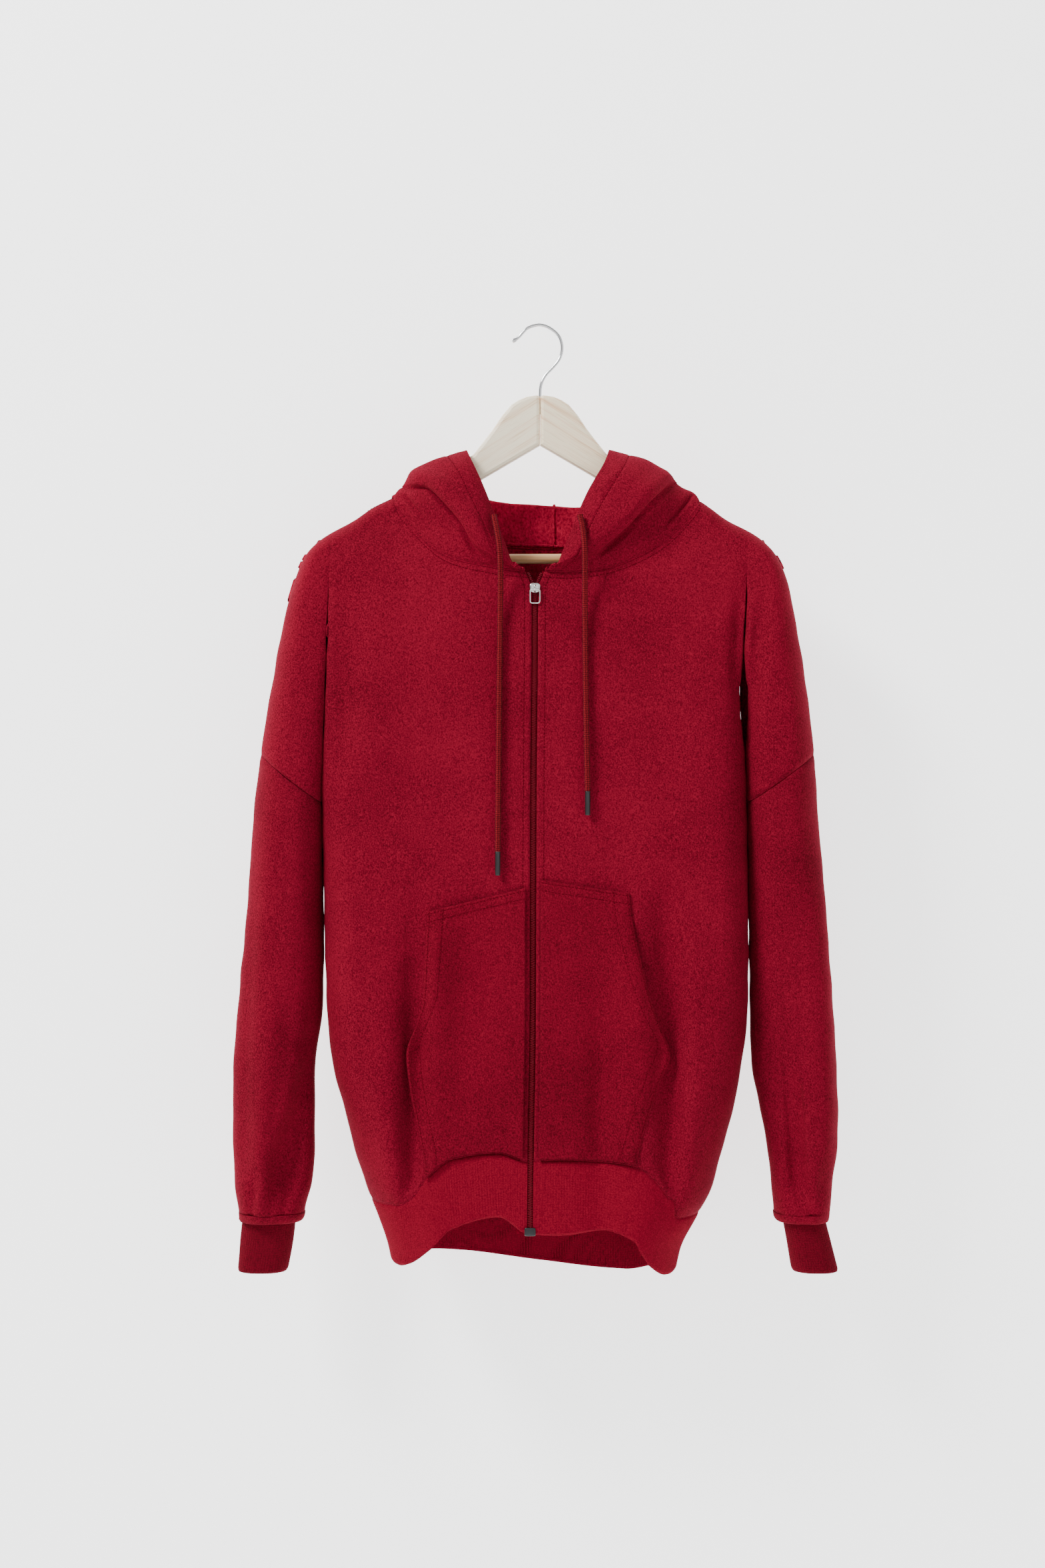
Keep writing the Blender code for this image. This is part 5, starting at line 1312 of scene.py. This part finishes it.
body = {}
for side in (LEFT, RIGHT):
    tag = NAMES[side]
    folds = FOLDS["front_" + tag]
    above, beside, below = body_blocks(side, FRONT, 92, (84, 36, 90))
    shoulder = shoulder_block(side, FRONT, 36, 84)
    above = hung(above, folds, [("v0", 0.7, 2.0)], [("v0", NECK_STITCH), ("u0", ZIP_STITCH)], NECK_END_X)
    beside = hung(beside, folds, [], [("u0", ZIP_STITCH)])
    below = hung(below, folds, [("v1", SEAM_DIP, 1.7)], [("u0", ZIP_STITCH)])
    shoulder = hung(shoulder, folds, [("v0", 0.0, 1.0), ("v1", SEAM_DIP, 1.5)])
    body[side] = (above, beside, below, shoulder)
    rows = [inset_line(block, "u0", ZIP_STITCH) for block in (above, beside, below)]
    neck_line, neck_normals = inset_line(above, "v0", NECK_STITCH)
    rows.append((neck_line[:NECK_STITCHED], neck_normals[:NECK_STITCHED]))
    sewn = stitches("front_stitches_" + tag, rows)
    front = cloth("front_" + tag + "_cloth", body[side], [CLOTH_LOOK, INSIDE_LOOK], SHELL)
    finish_cloth("front_" + tag)

back_body = {}
folds = FOLDS["back"]
for side in (LEFT, RIGHT):
    above, beside, below = body_blocks(side, BACK, 64, (66, 28, 70))
    shoulder = shoulder_block(side, BACK, 28, 70)
    above = hung(above, folds, [("v0", 0.7, 2.0)], [("v0", NECK_STITCH)], NECK_END_X)
    back_body[side] = [above, hung(beside, folds),
                       hung(below, folds, [("v1", SEAM_DIP, 1.7)]),
                       hung(shoulder, folds, [("v0", 0.0, 1.0), ("v1", SEAM_DIP, 1.5)])]
back = cloth("back_cloth", back_body[LEFT] + back_body[RIGHT], [CLOTH_LOOK, INSIDE_LOOK], SHELL)
finish_cloth("back")

for side in (LEFT, RIGHT):
    tag = NAMES[side]
    folds = FOLDS["sleeve_" + tag]
    blocks = []
    for face in (FRONT, BACK):
        upper, lower, roll = sleeve_blocks(side, face, 44, (34, 76, 14))
        upper = hung(upper, folds, [("v0", SEAM_DIP, 1.8)])
        blocks += [upper, hung(lower, folds), roll]
    sleeve = cloth("sleeve_" + tag + "_cloth", blocks, [SLEEVE_SHADED_LOOK, INSIDE_LOOK], SHELL)
    finish_cloth("sleeve_" + tag)

    cuff = cloth("cuff_" + tag + "_rib", [ribbed(block, 2.3, 0.5) for block in cuff_blocks(side, 116, 24)],
                 [RIB_LOOK], RIB_SHELL)
    finish_cloth("cuff_" + tag)

    pocket = hung(pocket_block(side, 56, 110), FOLDS["front_" + tag], [("v0", 0.4, 1.2), ("u1", 0.4, 1.2)],
                  [("v0", POCKET_STITCH), ("v0", POCKET_SECOND), ("u1", MOUTH_STITCH)])
    edges = (("v0", POCKET_STITCH), ("v0", POCKET_SECOND), ("u1", MOUTH_STITCH), ("u1", POCKET_STITCH))
    rows = [inset_line(pocket, edge, distance) for edge, distance in edges]
    sewn = stitches("pocket_stitches_" + tag, rows)
    pouch = cloth("pocket_" + tag + "_cloth", [pocket], [POCKET_SHADED_LOOK, INSIDE_LOOK], SHELL)
    finish_cloth("pocket_" + tag)

    points, normals = hood_block(side, 180, 160)
    around, up = runs(points)
    still = smooth(up / 10) * smooth((up[:, -1:] - up) / 8) * smooth((around[-1:] - around) / 16)
    in_front = smooth((6 - points[..., 1]) / 12) * smooth(0.2 - normals[..., 1] / 0.3)
    behind = smooth((points[..., 1] - 4) / 12) * smooth((normals[..., 1] - 0.1) / 0.4)
    x, z = points[..., 0], points[..., 2]
    out = (unevenness(points) * still + roll_height(HOOD_FOLDS[side], x, z, side) * in_front * smooth(up / 8)
           + fold_height(HOOD_BACK_FOLDS, x, z) * behind * still)
    out = out - 0.6 * np.exp(-((up[:, -1:] - up - CASING_STITCH) / 1.2) ** 2) - 0.7 * np.exp(-(up / 2.0) ** 2)
    hood = (points + normals * out[..., None], normals)
    sewn = stitches("hood_stitches_" + tag, [inset_line(hood, "v1", CASING_STITCH)])
    half = cloth("hood_" + tag + "_cloth", [hood], [CLOTH_LOOK, INSIDE_LOOK], SHELL)
    finish_cloth("hood_" + tag)

for side in (LEFT, RIGHT):
    neck = hood_block(side, 120, 60)
    line = neck[0][6:, 1] - neck[1][6:, 1] * 3.2
    seam = tube("neck_overlock_" + NAMES[side], line + np.array([0, 0, 1.5]), 1.5, INSIDE_LOOK, 10,
                ripple=lambda turn, run: 0.35 * np.sin(run * 2.1 + turn))
    line = neck[0][:, 0] - neck[1][:, 0] * 1.2
    tube("neck_seam_" + NAMES[side], line, 1.25, CLOTH_LOOK, 8)
    for where, blocks in (("front", body[side]), ("back", back_body[side])):
        below = blocks[2]
        line = below[0][:, -1] - below[1][:, -1] * 1.3
        tube("_".join(("hem_seam", where, NAMES[side])), line, 1.5, CLOTH_LOOK, 8)

centre = hood_block(LEFT, 120, 90)
line = centre[0][-1, 4:-4] - centre[1][-1, 4:-4] * 2.6
seam = tube("hood_overlock", line, 1.4, INSIDE_LOOK, 10, across=(1.0, 0.0, 0.0),
            ripple=lambda turn, run: 0.4 * np.sin(run * 2.1 + turn))

band = cloth("waistband_rib", [ribbed(block, 2.4, 0.5) for block in band_blocks(300, 290, 24)], [BAND_LIT_LOOK],
             RIB_SHELL, 0.06)
finish_cloth("hem_band")


# ---------------------------------------------------------------- zip

TOOTH_PITCH = 1.5
CHAIN_HALF = 2.3      # width of one side's coil
COIL_LAP = 0.35       # each side's coil reaches this far past the zip's middle
CHAIN_TOP_Z = -224.0


def zip_line(side, z):
    """Points of one side's bead line, swung out from the closed chain above the slider."""
    x = zip_x(z) + side * (0.1 + zip_spread(z))
    return x, front_y(side, z)


for side in (LEFT, RIGHT):
    tag = NAMES[side]
    count = int((CHAIN_TOP_Z - ZIP_END_Z - 4) / TOOTH_PITCH)
    t = np.linspace(0, count, count * 8 + 1)
    z = CHAIN_TOP_Z - t * TOOTH_PITCH - (TOOTH_PITCH / 2 if side == RIGHT else 0)
    x, y = zip_line(side, z)
    turn = 2 * np.pi * t
    reach = CHAIN_HALF / 2 - COIL_LAP - (CHAIN_HALF / 2) * np.cos(turn)
    coil_path = np.stack([x + side * reach, y + 1.0 - 1.0 * np.sin(turn), z], axis=-1)
    coil = tube("zip_coil_" + tag, coil_path, 0.36, COIL_LOOK, 5, across=(0.0, 0.3, 1.0))

    zs = np.linspace(CHAIN_TOP_Z + 1, ZIP_END_Z, 220)
    x, y = zip_line(side, zs)
    section = np.array([(0.9, 2.1), (2.2, 2.15), (3.2, 2.6), (4.2, 3.2), (8.0, 3.4), (12.6, 3.4)])
    points = np.stack([x[:, None] + side * section[None, :, 0], y[:, None] + section[None, :, 1],
                       np.broadcast_to(zs[:, None], (220, 6))], axis=-1)
    normals = np.broadcast_to(np.array([0.0, -1.0, 0.0]), points.shape)
    tape = cloth("zip_tape_" + tag, [(points, normals)], [TAPE_LOOK], 0.7)
    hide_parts("zip_" + tag)


def rounded_plate(name, half_w, half_h, depth, middle, look, bulge=0.5, power=4.0, taper=0.0):
    """A pillow-edged plate: superellipse rings shrinking and rising towards a slightly domed face."""
    turn = np.linspace(0, 2 * np.pi, 49)[:-1]
    level = np.array([0.0, 0.0, 0.12, 0.5, 0.88, 1.0, 1.0 + bulge * 0.5 / depth, 1.0 + bulge / depth])
    shrink = np.array([0.02, 0.86, 0.96, 1.0, 0.96, 0.86, 0.5, 0.02])
    cx = np.sign(np.cos(turn)) * np.abs(np.cos(turn)) ** (2 / power)
    cz = np.sign(np.sin(turn)) * np.abs(np.sin(turn)) ** (2 / power)
    width = 1 - taper * (1 - cz) / 2
    points = np.stack(np.broadcast_arrays(middle[0] + half_w * shrink[:, None] * (cx * width)[None],
                                          middle[1] - depth * level[:, None],
                                          middle[2] + half_h * shrink[:, None] * cz[None]), axis=-1)
    points = np.concatenate([points, points[:, :1]], axis=1)
    made = mesh_piece(name, points.reshape(-1, 3), grid_quads(len(level), 49), [look])
    cleaned(made.data, True, 2e-6)
    made.data.set_sharp_from_angle(angle=math.radians(55))
    return made


zx = float(zip_x(SLIDER_Z))
zy = float(front_y(LEFT, SLIDER_Z)) - 0.6
slider = rounded_plate("slider_body", SLIDER_W / 2, SLIDER_H / 2, 1.5, (zx, zy, SLIDER_Z), STEEL_LOOK,
                       0.3, 3.4, 0.22)
t = np.linspace(0, 1, 30)
arch_y = zy - 1.2 - 2.9 * np.sin(np.pi * t) ** 0.6
arch = np.stack([np.full(30, zx), arch_y, SLIDER_Z + 3.3 - 6.4 * t], axis=-1)
bridge = tube("slider_bridge", arch, 0.9, STEEL_LOOK, 12, across=(1.0, 0.0, 0.0))
rear = rounded_plate("slider_rear", SLIDER_W / 2 - 0.6, SLIDER_H / 2 - 0.4, 1.2, (zx, zy + 6.0, SLIDER_Z),
                     STEEL_LOOK, 0.1, 3.4, 0.2)
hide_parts("zip_slider")

low_x = float(zip_x(ZIP_END_Z))
low_y = float(front_y(LEFT, ZIP_END_Z))
box_at = (low_x, low_y - 0.5, ZIP_END_Z + 2.75)
stop = rounded_plate("zip_box_shell", 4.9, 3.7, 1.3, box_at, DARK_LOOK, 0.15, 6.0)
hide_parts("zip_box")


# ---------------------------------------------------------------- hanger

wire = spline([(x, 0.0, z) for x, z in HOOK], np.linspace(0, 1, 200))
thick = np.full(200, WIRE_R)
thick[:14] = np.interp(np.arange(14), [0, 2, 5, 8, 10, 13], [1.2, 1.9, 2.05, 2.0, 1.6, 1.5])
hook = tube("hook_wire", wire, thick, HOOK_LOOK, 20)
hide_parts("hanger_hook")
KEPT_NODES = {"hanger_arm_left": WOOD_LOOKS[LEFT], "hanger_arm_right": WOOD_LOOKS[RIGHT],
              "hanger_bar": BAR_LOOK, "zip_pull": STEEL_LOOK}
for node, look in KEPT_NODES.items():
    for held in bpy.data.objects[node].material_slots:
        held.material = look


# ---------------------------------------------------------------- stage and lights

def stage_plane(name, corners, color, glow, one_sided):
    """A pale plane that glows a little; a one-sided one is clear from behind."""
    mesh = bpy.data.meshes.new(name)
    mesh.from_pydata(corners, [], [(0, 1, 2, 3)])
    made = bpy.data.objects.new(name, mesh)
    bpy.context.scene.collection.objects.link(made)
    look, tree, shader, _ = new_material(name, 0.95)
    shader.inputs["Base Color"].default_value = (*color, 1)
    shader.inputs["Emission Color"].default_value = (1, 1, 1, 1)
    shader.inputs["Emission Strength"].default_value = glow
    if one_sided:
        sides = tree.nodes.new("ShaderNodeNewGeometry")
        clear = tree.nodes.new("ShaderNodeBsdfTransparent")
        either = tree.nodes.new("ShaderNodeMixShader")
        tree.links.new(sides.outputs["Backfacing"], either.inputs[0])
        tree.links.new(shader.outputs[0], either.inputs[1])
        tree.links.new(clear.outputs[0], either.inputs[2])
        tree.links.new(either.outputs[0], tree.nodes["Material Output"].inputs["Surface"])
    mesh.materials.append(look)


FLOOR_Z = -1.75
WALL_Y = 0.09
stage_plane("floor", [(-6, -6, FLOOR_Z), (6, -6, FLOOR_Z), (6, 6, FLOOR_Z), (-6, 6, FLOOR_Z)],
            (0.82, 0.82, 0.81), 0.3, False)
stage_plane("backdrop", [(-4, WALL_Y, FLOOR_Z), (4, WALL_Y, FLOOR_Z), (4, WALL_Y, 2.5), (-4, WALL_Y, 2.5)],
            (0.9, 0.9, 0.9), 1.9, True)


def area_light(name, spot, target, size, power):
    lamp = bpy.data.lights.new(name, "AREA")
    lamp.size = size
    lamp.energy = power
    made = bpy.data.objects.new(name, lamp)
    made.location = spot
    away = np.array(target) - np.array(spot)
    tilt = math.acos(-away[2] / np.linalg.norm(away))
    made.rotation_euler = (tilt, 0, math.atan2(-away[0], away[1]))
    bpy.context.scene.collection.objects.link(made)


area_light("key", (-1.9, -1.5, 1.8), (0, 0, -0.35), 0.9, 150)
area_light("fill", (2.4, -2.2, 0.4), (0, 0, -0.5), 2.4, 22)
area_light("front", (0.0, -3.6, 0.3), (0, 0, -0.4), 2.5, 18)
area_light("behind", (0.5, 3.0, 0.8), (0, 0, -0.4), 2.4, 60)
sky = bpy.data.worlds.new("studio")
sky.use_nodes = True
background = sky.node_tree.nodes["Background"]
background.inputs["Color"].default_value = (1, 1, 1, 1)
background.inputs["Strength"].default_value = 0.35
bpy.context.scene.world = sky
